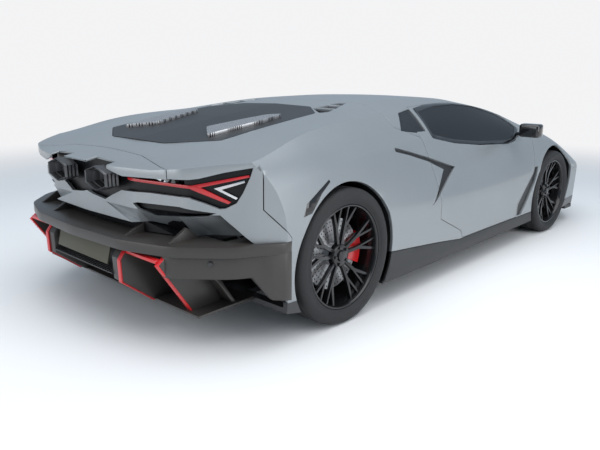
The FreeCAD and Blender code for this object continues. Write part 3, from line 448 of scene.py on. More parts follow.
def math_node(tree, operation, *given):
    """Output of a Math node whose inputs are the given numbers and sockets."""
    step = tree.nodes.new("ShaderNodeMath")
    step.operation = operation
    for socket, value in zip(step.inputs, given):
        if isinstance(value, (int, float)):
            socket.default_value = value
        else:
            tree.links.new(value, socket)
    return step.outputs["Value"]


def grain_group():
    """Shader group: fine grain over large soft mottling, for colour, roughness and height."""
    group = bpy.data.node_groups.new("surface_grain", "ShaderNodeTree")
    for name, way, kind, value in (("Colour", "INPUT", "NodeSocketColor", (0.5, 0.5, 0.5, 1)),
                                   ("Roughness", "INPUT", "NodeSocketFloat", 0.5),
                                   ("Variation", "INPUT", "NodeSocketFloat", 0.1),
                                   ("Scale", "INPUT", "NodeSocketFloat", 300.0),
                                   ("Colour", "OUTPUT", "NodeSocketColor", None),
                                   ("Roughness", "OUTPUT", "NodeSocketFloat", None),
                                   ("Height", "OUTPUT", "NodeSocketFloat", None)):
        socket = group.interface.new_socket(name=name, in_out=way, socket_type=kind)
        if value is not None:
            socket.default_value = value
    given = group.nodes.new("NodeGroupInput")
    made = group.nodes.new("NodeGroupOutput")
    place = group.nodes.new("ShaderNodeTexCoord")
    fine = group.nodes.new("ShaderNodeTexNoise")
    fine.inputs["Detail"].default_value = 3.0
    broad = group.nodes.new("ShaderNodeTexNoise")
    broad.inputs["Scale"].default_value = 2.3
    broad.inputs["Detail"].default_value = 4.0
    join = group.links.new
    join(place.outputs["Object"], fine.inputs["Vector"])
    join(place.outputs["Object"], broad.inputs["Vector"])
    join(given.outputs["Scale"], fine.inputs["Scale"])
    both = math_node(group, "ADD", fine.outputs["Fac"], broad.outputs["Fac"])
    swing = math_node(group, "MULTIPLY", math_node(group, "SUBTRACT", both, 1.0), given.outputs["Variation"])
    level = math_node(group, "ADD", swing, 1.0)
    tint = group.nodes.new("ShaderNodeVectorMath")
    tint.operation = "SCALE"
    join(given.outputs["Colour"], tint.inputs[0])
    join(level, tint.inputs["Scale"])
    join(tint.outputs["Vector"], made.inputs["Colour"])
    join(math_node(group, "MULTIPLY", given.outputs["Roughness"], level), made.inputs["Roughness"])
    join(fine.outputs["Fac"], made.inputs["Height"])
    return group


SURFACE_GRAIN = grain_group()


def grained(name, colour, roughness, scale, depth, variation=0.12, **plain):
    """Finish whose colour, roughness and height vary with the surface grain."""
    finish = bpy.data.materials.new(name)
    finish.use_nodes = True
    tree = finish.node_tree
    shader = tree.nodes["Principled BSDF"]
    grain = tree.nodes.new("ShaderNodeGroup")
    grain.node_tree = SURFACE_GRAIN
    grain.inputs["Colour"].default_value = (*colour, 1.0)
    grain.inputs["Roughness"].default_value = roughness
    grain.inputs["Variation"].default_value = variation
    grain.inputs["Scale"].default_value = scale
    bump = tree.nodes.new("ShaderNodeBump")
    bump.inputs["Distance"].default_value = depth
    bump.inputs["Strength"].default_value = 0.6
    tree.links.new(grain.outputs["Colour"], shader.inputs["Base Color"])
    tree.links.new(grain.outputs["Roughness"], shader.inputs["Roughness"])
    tree.links.new(grain.outputs["Height"], bump.inputs["Height"])
    tree.links.new(bump.outputs["Normal"], shader.inputs["Normal"])
    sockets = {socket.name.lower().replace(" ", "_"): socket for socket in shader.inputs}
    for key, value in plain.items():
        sockets[key].default_value = value
    return finish


satin_paint = grained("satin_grey_paint", (0.292, 0.312, 0.324), 0.37, 1400.0, 0.00002, 0.1,
                      metallic=0.55, coat_weight=0.25, coat_roughness=0.25)

pressed_panel("roof_panel",
              carved(body_shape, [side_block(ROOF_CUT)],
                     [cover_hole, windscreen_hole, quarter_hole] + door_gaps),
              satin_paint, "roof", thickness=0.007)

# Rear quarter panels in one piece with the deck and the tail lip: painted aluminium
# over the rear arches, with the forked intake behind each door cut out of them.
LIP_HEIGHT = 0.838
SILL_TOP = 0.229
REAR_WING = ((-2.235, 0), (-2.246, 0.33), (-2.318, 0.64), (-2.6, 0.64), (-2.6, 0))
SKIRT_SIDE = ((REAR_AXLE, 0), (REAR_AXLE, 0.33), (-1.062, 0.315), (-0.52, 0.262), (-0.243, SILL_TOP),
              (FRONT_AXLE, SILL_TOP), (FRONT_AXLE, 0))
TAIL_CUT = ((-2.7, 0), (-1.9, 0), (-1.9, 0.56), (-2.02, 0.7), (-2.02, LIP_HEIGHT), (-2.7, LIP_HEIGHT))
# Rear edge of the deck as seen from behind, left half, and all that lies under it
LIP_LINE = ((0, 0.882), (0.235, 0.878), (0.298, 0.856), (0.39, 0.832), (0.556, 0.836), (0.706, 0.836),
            (0.764, 0.846), (0.837, 0.872), (0.91, 0.89), (0.93, 0.894), (0.975, 0.84), (0.975, 0.5),
            (0, 0.5))
INTAKE_SIDE = ((-0.918, 0.89), (-0.743, 0.851), (-0.532, 0.799), (-0.243, 0.713), (-0.364, 0.653),
               (-0.567, 0.547), (-0.632, 0.514), (-0.506, 0.619), (-0.417, 0.691), (-0.391, 0.71),
               (-0.546, 0.774), (-0.759, 0.831), (-0.92, 0.866))
DECK_SLOTS = (((-0.8, 0.372), (-0.8, 0.425), (-0.895, 0.465), (-0.905, 0.372)),
              ((-0.918, 0.372), (-0.908, 0.47), (-1.005, 0.512), (-1.018, 0.372)),
              ((-1.03, 0.372), (-1.018, 0.517), (-1.115, 0.545), (-1.16, 0.515), (-1.06, 0.372)))
LIP_NOTCH = ((0.11, 0.8), (0.11, 0.95), (0.29, 0.95), (0.29, 0.8))
WELL_ENDS = ((-0.77, -1), (-0.77, 1), (-1.2, 1), (-1.2, -1))
WELL_SIDES = ((-0.765, 0.3), (-0.765, 0.47), (-1.2, 0.62), (-1.2, -0.62), (-0.765, -0.47),
              (-0.765, -0.3))
roof_zone = side_block(ROOF_CUT, SEAM)
tail_zone = side_block(TAIL_CUT, SEAM)
floor_zone = side_block(((-3, -0.1), (-3, SILL_TOP), (3, SILL_TOP), (3, -0.1)))
skirt_zone = side_block(SKIRT_SIDE, SEAM)
behind = side_block(((0, -1), (0, 2), (-3, 2), (-3, -1)))
under_lip = block("front", both_fronts(LIP_LINE), BEHIND_ALL, -2.0175)
wing_hole = top_block(REAR_WING, 0.8, SHUT)
intake_hole = side_block(INTAKE_SIDE)
deck_vents = [vent for outline in DECK_SLOTS for vent in both_sides("top", outline, 0.8, ABOVE_ALL, 0, 0.004)]
lip_notches = both_sides("front", LIP_NOTCH, BEHIND_ALL, -2.36)
deep_skin = body_form("deep_skin", 0.016)
dark_plastic = grained("dark_satin_plastic", (0.012, 0.012, 0.013), 0.42, 520.0, 0.00012, 0.25)
gloss_black = grained("gloss_black_trim", (0.006, 0.006, 0.007), 0.1, 60.0, 0.00001, 0.2, coat_weight=0.5)
pressed_panel("rear_quarter_panels",
              carved(body_shape, [behind], [roof_zone, tail_zone, under_lip, floor_zone, skirt_zone,
                                            cover_hole, wing_hole, quarter_hole, intake_hole]
                     + deck_vents + lip_notches + door_gaps), satin_paint, "rear_quarters")
well_keeps = [block("top", WELL_ENDS, 0.8, ABOVE_ALL), block("top", WELL_SIDES, 0.8, ABOVE_ALL)]
pressed_panel("deck_vent_wells", carved(body_form("vent_skin", 0.022), well_keeps, [roof_zone, cover_hole]),
              dark_plastic, thickness=0.005, edge=0.001)
pressed_panel("intake_ducts", carved(deep_skin, [side_block(INTAKE_SIDE, 0.006), behind], door_gaps),
              dark_plastic, thickness=0.006, edge=0.001)

# Front fenders: painted panels over the front arches, each with a dark slot and a
# blade behind the wheel that lets air out of the arch.
SLOT_SIDE = ((0.905, 0.6), (0.655, 0.33), (0.662, 0.24), (0.745, 0.24), (0.83, 0.34), (0.925, 0.48),
             (0.958, 0.6))
LAMP_PLAN = ((2.05, 0.56), (2.24, 0.47), (2.2, 0.64), (2.06, 0.74))
FRONT_LID = ((1.4, 0), (1.4, 0.47), (1.52, 0.6), (2.04, 0.52), (2.2, 0.33), (2.235, 0))
NOSE_CUT = ((1.71, 0), (1.71, 0.5), (2.03, 0.545), (2.255, 0.7), (2.7, 0.7), (2.7, 0))
slot_hole = side_block(SLOT_SIDE)
lamp_holes = both_sides("top", LAMP_PLAN, 0.3, ABOVE_ALL, 0.001)
lid_hole = top_block(FRONT_LID, 0.52, SHUT, 0.03)
nose_zone = side_block(NOSE_CUT, SEAM)
ahead = side_block(((0, -1), (0, 2), (3, 2), (3, -1)))
pressed_panel("front_fender_panels",
              carved(body_shape, [ahead], [roof_zone, nose_zone, floor_zone, skirt_zone, lid_hole,
                                           windscreen_hole, slot_hole] + lamp_holes + door_gaps),
              satin_paint, "front_fenders")
pressed_panel("fender_slots", carved(deep_skin, [side_block(SLOT_SIDE, 0.006), ahead], door_gaps + arches),
              dark_plastic, thickness=0.006, edge=0.001)

# Nose panel, the front bumper of this kind of car: one painted plastic moulding with
# a dark ducted intake let into each side of it.
SIDES = ((1, "left"), (-1, "right"))
NOSE_INTAKE = ((0.33, 0.24), (0.7, 0.25), (0.78, 0.36), (0.64, 0.385), (0.36, 0.3))
nose_holes = both_sides("front", NOSE_INTAKE, 1.9, 3.0)
pressed_panel("nose_panel", carved(body_shape, [side_block(NOSE_CUT)], [lid_hole] + nose_holes + lamp_holes),
              satin_paint, "front_bumper")
deep_nose = carved(deep_skin, [car_block(TAIL_LIP, -0.016)])
for side, name in SIDES:
    pressed_panel("nose_intake_" + name,
                  carved(deep_nose, [block("front", NOSE_INTAKE, 1.9, 3.0, 0.006, side=side)]),
                  dark_plastic, thickness=0.006, edge=0.001)

# Opening panels of the body: the painted luggage lid in front, the engine cover behind
# the roof with its black frame, dark glass and two silver vent meshes, and the painted
# wing that is let into the tail lip.
DECK_GLASS = ((-1.035, 0), (-1.035, 0.285), (-1.195, 0.483), (-1.888, 0.503), (-2.04, 0.24), (-2.048, 0))
MESH_PLAN = ((-1.895, 0.4), (-1.77, 0.235), (-1.4, 0.325), (-1.35, 0.4), (-1.55, 0.425))
MESH_PITCH = 80.0
SHADED_HOLE_SIZE = 0.3
deck_glass = grained("dark_engine_glass", (0.01, 0.04, 0.105), 0.12, 2.0, 0.00001, 0.3,
                     specular_ior_level=0.05, specular_tint=(0.22, 0.34, 0.62, 1.0))
vent_mesh = grained("silver_vent_mesh", (0.5, 0.5, 0.51), 0.35, 500.0, 0.00003, 0.15, metallic=0.8)


def second_colour(finish, factor, colour):
    """Gives a finish another colour wherever the factor is one."""
    tree = finish.node_tree
    shade = tree.nodes.new("ShaderNodeMix")
    shade.data_type = "RGBA"
    shade.inputs["B"].default_value = (*colour, 1.0)
    tree.links.new(factor, shade.inputs["Factor"])
    tree.links.new(tree.nodes["Group"].outputs["Colour"], shade.inputs["A"])
    tree.links.new(shade.outputs["Result"], tree.nodes["Principled BSDF"].inputs["Base Color"])


tree = vent_mesh.node_tree
place = tree.nodes.new("ShaderNodeTexCoord")
cells = tree.nodes.new("ShaderNodeTexVoronoi")
cells.voronoi_dimensions = "2D"
cells.inputs["Scale"].default_value = MESH_PITCH
cells.inputs["Randomness"].default_value = 0.0
tree.links.new(place.outputs["Object"], cells.inputs["Vector"])
# The mesh's holes are only painted: near-black dots of painted shade where the cells' distance is small.
second_colour(vent_mesh, math_node(tree, "LESS_THAN", cells.outputs["Distance"], SHADED_HOLE_SIZE),
              (0.012, 0.012, 0.014))
pressed_panel("front_lid_panel", carved(body_shape, [top_block(FRONT_LID, 0.52, 0, 0.03)]),
              satin_paint, body="front_lid")
glass_hole = top_block(DECK_GLASS, 0.8, 0.001, 0.02)
pressed_panel("engine_cover_frame",
              carved(body_shape, [top_block(ENGINE_COVER, 0.8, 0, 0.03)], [glass_hole]),
              gloss_black, body="engine_cover")
pressed_panel("wing_panel",
              carved(body_shape, [top_block(REAR_WING, 0.8)], [under_lip] + lip_notches),
              satin_paint, "rear_wing", "rear_wing", 0.01)
deck_skin = body_form("deck_skin", 0.003)
pressed_panel("engine_glass", carved(deck_skin, [top_block(DECK_GLASS, 0.8, 0, 0.02)]),
              deck_glass, body="engine_cover", thickness=0.006, edge=0.001)
mesh_skin = body_form("mesh_skin", -0.02)
for side, name in SIDES:
    pressed_panel("engine_vent_mesh_" + name,
                  carved(mesh_skin, [block("top", MESH_PLAN, 0.8, ABOVE_ALL, 0, 0.02, side=side)]),
                  vent_mesh, body="engine_cover", thickness=0.02, edge=0.005)


def recolour(finish, *node_names):
    """Gives CAD nodes that stay in sight a finish; their shapes stay as they are."""
    for node in node_names:
        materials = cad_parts[node].data.materials
        materials.clear()
        materials.append(finish)


recolour(satin_paint, "front_lid")
recolour(dark_plastic, "engine_cover")

# Doors: each one thick panel that rises on its front hinge, painted, with a gloss
# black surround pressed round the window and the end of the dark intake in its rear edge.
DOOR_GLASS = ((-0.35, 0.918), (-0.33, 1.062), (-0.087, 1.09), (0.201, 1.097), (0.461, 1.074), (0.687, 1.016),
              (0.79, 0.966), (0.845, 0.905), (0.7, 0.835), (0.562, 0.822), (0.166, 0.842), (-0.132, 0.874))
PILLAR_COVER = ((-0.392, 0.9), (-0.388, 1.078), (-0.34, 1.088), (-0.362, 0.9))
surround_skin = body_form("surround_skin", 0.0015)


def window_block(side, grow):
    """Cutting block over the window of one door, moved outwards by a distance."""
    return block("side", DOOR_GLASS, DOOR_INNER, WIDE, grow, DOOR_ROUND, side=side)


for side, name in SIDES:
    door = "door_" + name
    door_keeps = [block("side", DOOR_SIDE, DOOR_INNER, WIDE, 0, DOOR_ROUND, side=side),
                  block("top", DOOR_TOP, 0, ABOVE_ALL, side=side)]
    pressed_panel("door_panel_" + name,
                  carved(body_shape, door_keeps, [window_block(side, 0.022), intake_hole]),
                  satin_paint, door, door, 0.03)
    pressed_panel("window_surround_" + name,
                  carved(surround_skin, [window_block(side, 0.021)] + door_keeps,
                         [window_block(side, -0.004)]),
                  gloss_black, "", door, 0.008, 0.001)
    cover = block("side", PILLAR_COVER, DOOR_INNER, WIDE, 0, 0.006, side=side)
    pressed_panel("pillar_cover_" + name, carved(surround_skin, [cover] + door_keeps),
                  gloss_black, "", door, 0.006, 0.001)
    tip = block("side", INTAKE_SIDE, DOOR_INNER, WIDE, 0.006, side=side)
    pressed_panel("door_intake_tip_" + name, carved(deep_skin, [tip] + door_keeps),
                  dark_plastic, "", door, 0.006, 0.001)

# Window glass: dark tinted panes, bent to the form of the body and bonded just below
# the painted surface around them.
pane_skin = body_form("pane_skin", 0.004)
tinted_glass = grained("dark_tinted_glass", (0.016, 0.018, 0.022), 0.03, 3.0, 0.00001, 0.3,
                       transmission_weight=0.5, specular_ior_level=0.1)
pressed_panel("windscreen_pane",
              carved(pane_skin, [top_block(WINDSCREEN, 0.7, -0.001, 0.02)]),
              tinted_glass, "fixed_glass", thickness=0.005, edge=0.001)
upper_body = side_block(((-3, 0.8), (-3, 2), (3, 2), (3, 0.8)))
pressed_panel("quarter_panes", carved(pane_skin, [side_block(QUARTER_GLASS, 0.005, 0.008), upper_body]),
              tinted_glass, thickness=0.005, edge=0.001)
for side, name in SIDES:
    pressed_panel("door_pane_" + name, carved(pane_skin, [window_block(side, 0)]),
                  tinted_glass, "door_glass_" + name, "door_" + name, 0.005, 0.001)

# Side skirts: dark satin plastic mouldings clipped to the sills under the doors, higher
# at their rear ends.
middle = block("side", ((-3, -0.1), (-3, 2), (3, 2), (3, -0.1)), -0.905, 0.905)
pressed_panel("skirt_mouldings", carved(body_shape, [side_block(SKIRT_SIDE, -0.001)], [middle]),
              dark_plastic, "side_skirts", thickness=0.014)

# Tail fascia under the lip: painted, drawn in towards its foot, with a dark band that
# carries lamps and tailpipes let into it and a slim dark intake below on each side.
# Below the fascia's cut-away foot, the black band stands in as painted shade.
TAIL_FASCIA = ((-0.905, 0), (-0.888, 0.4), (-0.79, 0.7), (-0.6, 0.92), (-0.48, 1.0), (-0.43, 1.04))
FASCIA_SIDE = ((-2.7, 0), (-1.9, 0), (-1.9, 0.56), (-2.02, 0.7), (-2.02, 0.95), (-2.7, 0.95))
FASCIA_FOOT = ((-0.7, 0.5), (-0.6, 0.56), (-0.44, 0.606), (0.44, 0.606), (0.6, 0.56), (0.7, 0.5))
TAIL_BAND = ((0, 0.95), (0.96, 0.95), (0.925, 0.895), (0.916, 0.851), (0.893, 0.783), (0.869, 0.732),
             (0.83, 0.706), (0.81, 0.704), (0.755, 0.731), (0.701, 0.753), (0.5, 0.758), (0.319, 0.752),
             (0.23, 0.716), (0.169, 0.687), (0.048, 0.7), (0, 0.711))
TAIL_INTAKE = ((0.4, 0.7), (0.43, 0.707), (0.658, 0.708), (0.8, 0.684), (0.76, 0.668), (0.48, 0.64))
UNDERCUT = 1.45
RIDGE_HEIGHT = 0.676
# Lines seen from behind between which the fascia is drawn in, each by two (y, z) points
INNER_FACET = ((0.15, 0.684), (0.44, 0.59))
OUTER_FACET = ((0.8, 0.69), (0.925, 0.545))
FACET_WIDTH = 0.022
FACET_STEPS = (0.55, 0.62, 0.7, 0.78)
LEANS_FROM = -1.95
LEANS_WITHIN = 0.15
BAND_DEEPER = 0.035
DEEPER_WITHIN = 0.012


def beyond(line, y, z):
    """Distance of a point from a facet line, positive on its outer side."""
    (y1, z1), (y2, z2) = line
    length = math.hypot(y2 - y1, z2 - z1)
    return ((y - y1) * (z1 - z2) - (z - z1) * (y1 - y2)) / length * (1 if z1 > z2 else -1)


def drawn_in(piece, further=0.0):
    """The fascia leans forwards below its ridge, between two facet lines on each side."""
    shape = bmesh.new()
    shape.from_mesh(piece.data)
    cuts = [((0, 0, RIDGE_HEIGHT), (0, 0, 1))]
    for side in (1, -1):
        for line in (INNER_FACET, OUTER_FACET):
            (y1, z1), (y2, z2) = line
            for shift in (0.0, FACET_WIDTH * (1 if line is INNER_FACET else -1)):
                cuts.append(((0, side * (y1 + shift), z1), (0, side * (z1 - z2), y2 - y1)))
        cuts += [((0, side * y, 0), (0, 1, 0)) for y in FACET_STEPS]
    for place, normal in cuts:
        parts = list(shape.verts) + list(shape.edges) + list(shape.faces)
        bmesh.ops.bisect_plane(shape, geom=parts, dist=0.0001, plane_co=place,
                               plane_no=Vector(normal).normalized())
    for vert in shape.verts:
        depth = RIDGE_HEIGHT - vert.co.z
        if depth <= 0 or vert.co.x > LEANS_FROM:
            continue
        inner = beyond(INNER_FACET, abs(vert.co.y), vert.co.z)
        outer = -beyond(OUTER_FACET, abs(vert.co.y), vert.co.z)
        share = min(1.0, max(0.0, inner / FACET_WIDTH)) * min(1.0, max(0.0, outer / FACET_WIDTH))
        vert.co.x += (UNDERCUT * depth * share * min(1.0, (LEANS_FROM - vert.co.x) / LEANS_WITHIN)
                      + further * min(1.0, depth / DEEPER_WITHIN))
    shape.to_mesh(piece.data)
    shape.free()
    piece.data.set_sharp_from_angle(angle=math.radians(14))


tail_shape = carved(skin, [car_block(TAIL_FASCIA)], arches)
band_hole = block("front", both_fronts(TAIL_BAND), BEHIND_ALL, -1.97)
intake_holes = both_sides("front", TAIL_INTAKE, BEHIND_ALL, -1.9)
# The fascia's foot is cut away so that the black band behind shows through as painted shade.
foot_shade_hole = block("front", FASCIA_FOOT, BEHIND_ALL, -2.2)
fascia_keeps = [side_block(FASCIA_SIDE), side_block(((-3, 0.545), (-3, 2), (0, 2), (0, 0.545)))]
fascia = carved(tail_shape, fascia_keeps, [band_hole] + intake_holes + [foot_shade_hole])
drawn_in(pressed_panel("tail_fascia", fascia, satin_paint, "tail_panel"))
deep_tail = carved(deep_skin, [car_block(TAIL_FASCIA, -0.03)], arches)
under_wing = block("top", ((-2.315, -0.66), (-2.315, 0.66), (-1.9, 0.66), (-1.9, -0.66)), 0.8, 1.0)
tail_back = side_block(((-3, 0.552), (-3, 0.95), (-1.99, 0.95), (-1.99, 0.7), (-1.93, 0.552)))
band_black_and_shade = grained("satin_black_band", (0.005, 0.005, 0.006), 0.34, 300.0, 0.00005, 0.2,
                     specular_ior_level=0.3)
drawn_in(pressed_panel("tail_band", carved(deep_tail, [tail_back], [under_wing]), band_black_and_shade,
                       thickness=0.008, edge=0.001), BAND_DEEPER)

# Tail lamps: a red forked light line behind a dark lens in each half of the band, and
# a small bright forked reflector at its outer end.
TAIL_LAMP = ((0.35, 0.816), (0.7, 0.806), (0.9, 0.858), (0.903, 0.848), (0.733, 0.798), (0.838, 0.733),
             (0.828, 0.724), (0.694, 0.792), (0.35, 0.804))
REFLECTOR = ((0.78, 0.795), (0.885, 0.834), (0.886, 0.824), (0.806, 0.79), (0.862, 0.754), (0.855, 0.746))
lamp_red = grained("red_lamp_line", (0.4, 0.008, 0.012), 0.16, 90.0, 0.0001, 0.2, coat_weight=0.6,
                   emission_color=(0.9, 0.02, 0.02, 1.0), emission_strength=0.1)
bright_metal = grained("bright_metal", (0.72, 0.72, 0.73), 0.22, 800.0, 0.00002, 0.1, metallic=1.0)
lamp_tail = carved(deep_skin, [car_block(TAIL_FASCIA, -0.016)])
for side, name, node in ((1, "tail_lamp_lines", "tail_lamps"), (-1, "tail_lamp_line_right", "")):
    pressed_panel(name, carved(lamp_tail, [block("front", TAIL_LAMP, BEHIND_ALL, -1.9, side=side)]),
                  lamp_red, node, thickness=0.012, edge=0.002)
for side, name in SIDES:
    pressed_panel("lamp_reflector_" + name,
                  carved(lamp_tail, [block("front", REFLECTOR, BEHIND_ALL, -1.9, side=side)]),
                  bright_metal, thickness=0.01, edge=0.001)

# Tailpipes: two hexagonal steel tips with thick dark rims, stepped inside like the
# real ones, each in a ribbed cast shroud that fans out towards the fascia.
PIPE_PLACES = (0.2, -0.2)
PIPE_MOUTH = -2.4275
PIPE_HEIGHT = 0.802
PIPE_HALF = (0.108, 0.05)
# how far forwards each step of the bore goes, and its half width over the pipe's
PIPE_STEPS = ((0.0, 0.9), (0.004, 0.86), (0.03, 0.84), (0.0, 0.76), (0.035, 0.74), (0.0, 0.66),
              (0.03, 0.6))
# each rib of the shroud over the one before it
SHROUD_RIBS = (1.09, 0.96, 1.035, 0.96, 1.035, 0.96, 1.035)
RIB_PITCH = 0.01
EDGE_FOLD = 40


def placed(name, shape, body, finish, nodes_replaced=(), edge=0.0, angle=SMOOTH_BELOW):
    """A finished closed piece from a bmesh."""
    bmesh.ops.recalc_face_normals(shape, faces=shape.faces)
    return dressed(name, shape, body, finish, nodes_replaced, edge, EDGE_FOLD, angle)


def hexagon(shape, pipe_y, filled):
    """Corners of a pipe's mouth, wider than high."""
    corners = bmesh.ops.create_circle(shape, cap_ends=filled, segments=6, radius=1.0)["verts"]
    bmesh.ops.scale(shape, vec=(PIPE_HALF[0], PIPE_HALF[1] / math.cos(math.radians(30)), 1), verts=corners)
    upright = Matrix(((0, 0, -1, PIPE_MOUTH), (1, 0, 0, pipe_y), (0, 1, 0, PIPE_HEIGHT), (0, 0, 0, 1)))
    bmesh.ops.transform(shape, matrix=upright, verts=corners)
    return corners


def stepped(shape, ring, move, ratio, pipe_y):
    """Moves a ring of corners forwards and scales it about the pipe's middle."""
    bmesh.ops.translate(shape, vec=(move, 0, 0), verts=ring)
    middle = Matrix.Translation((0, -pipe_y, -PIPE_HEIGHT))
    bmesh.ops.scale(shape, vec=(1, ratio, ratio), verts=ring, space=middle)


def of_kind(items, kind):
    return [item for item in items if isinstance(item, kind)]


dark_steel = grained("dark_heat_tinted_steel", (0.115, 0.115, 0.118), 0.38, 700.0, 0.00005, 0.25,
                     metallic=0.9)
shape = bmesh.new()
for pipe_y in PIPE_PLACES:
    mouth = list({face for vert in hexagon(shape, pipe_y, True) for face in vert.link_faces})
    for move, factor in PIPE_STEPS:
        lifted = bmesh.ops.extrude_face_region(shape, geom=mouth)["geom"]
        bmesh.ops.delete(shape, geom=mouth, context="FACES_ONLY")
        mouth = of_kind(lifted, bmesh.types.BMFace)
        ring = of_kind(lifted, bmesh.types.BMVert)
        reached = max(math.hypot(vert.co.y - pipe_y, vert.co.z - PIPE_HEIGHT) for vert in ring)
        stepped(shape, ring, move, factor * PIPE_HALF[0] / reached, pipe_y)
    outer = hexagon(shape, pipe_y, False)
    edges = [edge for edge in shape.edges if edge.verts[0] in outer and edge.verts[1] in outer]
    for ratio in SHROUD_RIBS:
        lifted = bmesh.ops.extrude_edge_only(shape, edges=edges)["geom"]
        edges = of_kind(lifted, bmesh.types.BMEdge)
        stepped(shape, of_kind(lifted, bmesh.types.BMVert), RIB_PITCH, ratio, pipe_y)
bmesh.ops.remove_doubles(shape, verts=shape.verts, dist=0.0002)
placed("tailpipes", shape, "chassis", dark_steel, ("exhaust_tips",), 0.0015, 30)

# Rear bumper: a wide dark shelf that stands out under the fascia over deep outer walls
# with flaps before the tyres, open in the middle, where a bare plate sits in a recess.
TAIL_BUMPER = ((-1.01, 0), (-0.985, 0.43), (-0.895, 0.7), (-0.715, 0.905), (-0.53, 1.0), (-0.42, 1.04))
BUMPER_TOP = 0.545
BAND_FOOT = 0.494
WALL_FOOT = 0.395
BUMPER_WALL = -0.026
FLAP_LINE = ((-3, 0.1), (-3, WALL_FOOT), (-2.086, WALL_FOOT), (-2.01, 0.287), (-1.998, 0.274),
             (-1.89, 0.252), (-1.89, 0.1))
SENSOR_PLACE = (-2.238, 0.834, 0.47)
SENSOR_TURN = 42


def bumper_form(low, high, grow):
    """Block over the bumper seen from above."""
    return block("top", car_plan(TAIL_BUMPER), low, high, grow, 0.05)


def bumper_piece(name, form, nodes_replaced, edge):
    """One finished bumper moulding from its carved form."""
    shape = bmesh.new()
    shape.from_mesh(form.data)
    bmesh.ops.remove_doubles(shape, verts=shape.verts, dist=0.0004)
    placed(name, shape, "chassis", bumper_brown, nodes_replaced, edge)


bumper_brown = grained("dark_satin_bumper", (0.036, 0.032, 0.029), 0.36, 520.0, 0.0001, 0.25)
bumper_keeps = [side_block(((-3, 0), (-3, 2), (-1.9, 2), (-1.9, 0))),
                block("front", ((-1.015, 0), (-1.015, 2), (1.015, 2), (1.015, 0)), -3, 3)]
shelf_cuts = [bumper_form(0.3, BUMPER_TOP - 0.014, BUMPER_WALL),
              block("top", ((-2.12, -0.8), (-2.12, 0.8), (0, 0.8), (0, -0.8)), 0.3, 0.7)]
shelf = carved(bumper_form(BAND_FOOT, BUMPER_TOP, 0), bumper_keeps, shelf_cuts + arches)
bumper_piece("rear_bumper_shelf", shelf, ("rear_bumper",), 0.003)
wall_cuts = [bumper_form(0.1, 0.7, BUMPER_WALL), side_block(FLAP_LINE),
             block("front", ((-0.655, 0), (-0.655, 1), (0.655, 1), (0.655, 0)), BEHIND_ALL, -1.5)]
walls = carved(bumper_form(0.2, BAND_FOOT + 0.001, -0.005), bumper_keeps, wall_cuts + arches)
bumper_piece("rear_bumper_walls", walls, (), 0.002)
shape = bmesh.new()
for side in (1, -1):
    sensor = upright_cone(shape, 24, 0.014, 0.012, 0.012)
    turn(shape, sensor, -90, "Y")
    turn(shape, sensor, -SENSOR_TURN * side, "Z")
    place_x, place_y, place_z = SENSOR_PLACE
    bmesh.ops.translate(shape, vec=(place_x, side * place_y, place_z), verts=sensor)
placed("parking_sensors", shape, "chassis", gloss_black, (), 0.001)

# Diffuser: sloping dark ramps under the bumper, and plates that stand along the air
# flow on them, edged in red, with two pointed guide fins on the shelf above each pair.
INNER_FIN = ((-2.38, 0.493), (-2.424, 0.435), (-2.421, 0.322), (-2.248, 0.188), (-2.06, 0.188),
             (-2.19, 0.493))
OUTER_FIN = ((-2.352, 0.493), (-2.395, 0.458), (-2.215, 0.19), (-2.04, 0.19), (-2.16, 0.493))
INNER_GUIDE = ((-2.395, 0.541), (-2.27, 0.604), (-2.2, 0.541))
OUTER_GUIDE = ((-2.335, 0.541), (-2.23, 0.604), (-2.155, 0.541))
# outline of the long fin, of the guide fin above it, corners with a red edge, inner and outer side
FIN_PLACES = ((INNER_FIN, INNER_GUIDE, 4, 0.308, 0.392), (OUTER_FIN, OUTER_GUIDE, 3, 0.64, 0.664))
RAMP = ((-2.262, 0.47), (-2.245, 0.497), (-2.1, 0.34), (-2.01, 0.205), (-1.9, 0.205),
        (-1.9, 0.19), (-2.022, 0.19), (-2.115, 0.325))
FLOOR_PLATE = ((-2.25, 0.186), (-2.25, 0.196), (-1.9, 0.206), (-1.9, 0.19))
GRILLE_BACK = ((-0.307, 0.335), (-0.307, 0.496), (0.307, 0.496), (0.307, 0.335))
GRILLE_BAR = ((-0.307, 0.343), (-0.307, 0.35), (0.307, 0.35), (0.307, 0.343))
GRILLE_FOOT = ((-2.428, 0.34), (-2.428, 0.347), (-2.345, 0.347), (-2.345, 0.34))
PLATE = ((-0.26, -0.055), (-0.26, 0.055), (0.26, 0.055), (0.26, -0.055))
PLATE_LEAN = 0.26
RED_BAR = ((-2.398, 0.462), (-2.398, 0.476), (-2.372, 0.48), (-2.372, 0.462))
shape = bmesh.new()
add_plate(shape, "front", GRILLE_BACK, -2.352, -2.344)
for row in range(6):
    add_plate(shape, "front", GRILLE_BAR, -2.428 + 0.014 * row, -2.42 + 0.014 * row)
for bar in range(16):
    add_plate(shape, "side", GRILLE_FOOT, -0.302 + 0.04 * bar, -0.298 + 0.04 * bar)
placed("bumper_grille", shape, "chassis", dark_plastic)
khaki_plate = grained("bare_plate_paint", (0.06, 0.056, 0.034), 0.5, 240.0, 0.0001, 0.18)
shape = bmesh.new()
add_plate(shape, "front", PLATE, -0.004, 0.004)
turn(shape, shape.verts, math.degrees(PLATE_LEAN), "Y")
bmesh.ops.translate(shape, vec=(-2.408, 0, 0.436), verts=shape.verts)
placed("bare_plate", shape, "chassis", khaki_plate, (), 0.0015)
ramps = bmesh.new()
fins = bmesh.new()
edging = bmesh.new()
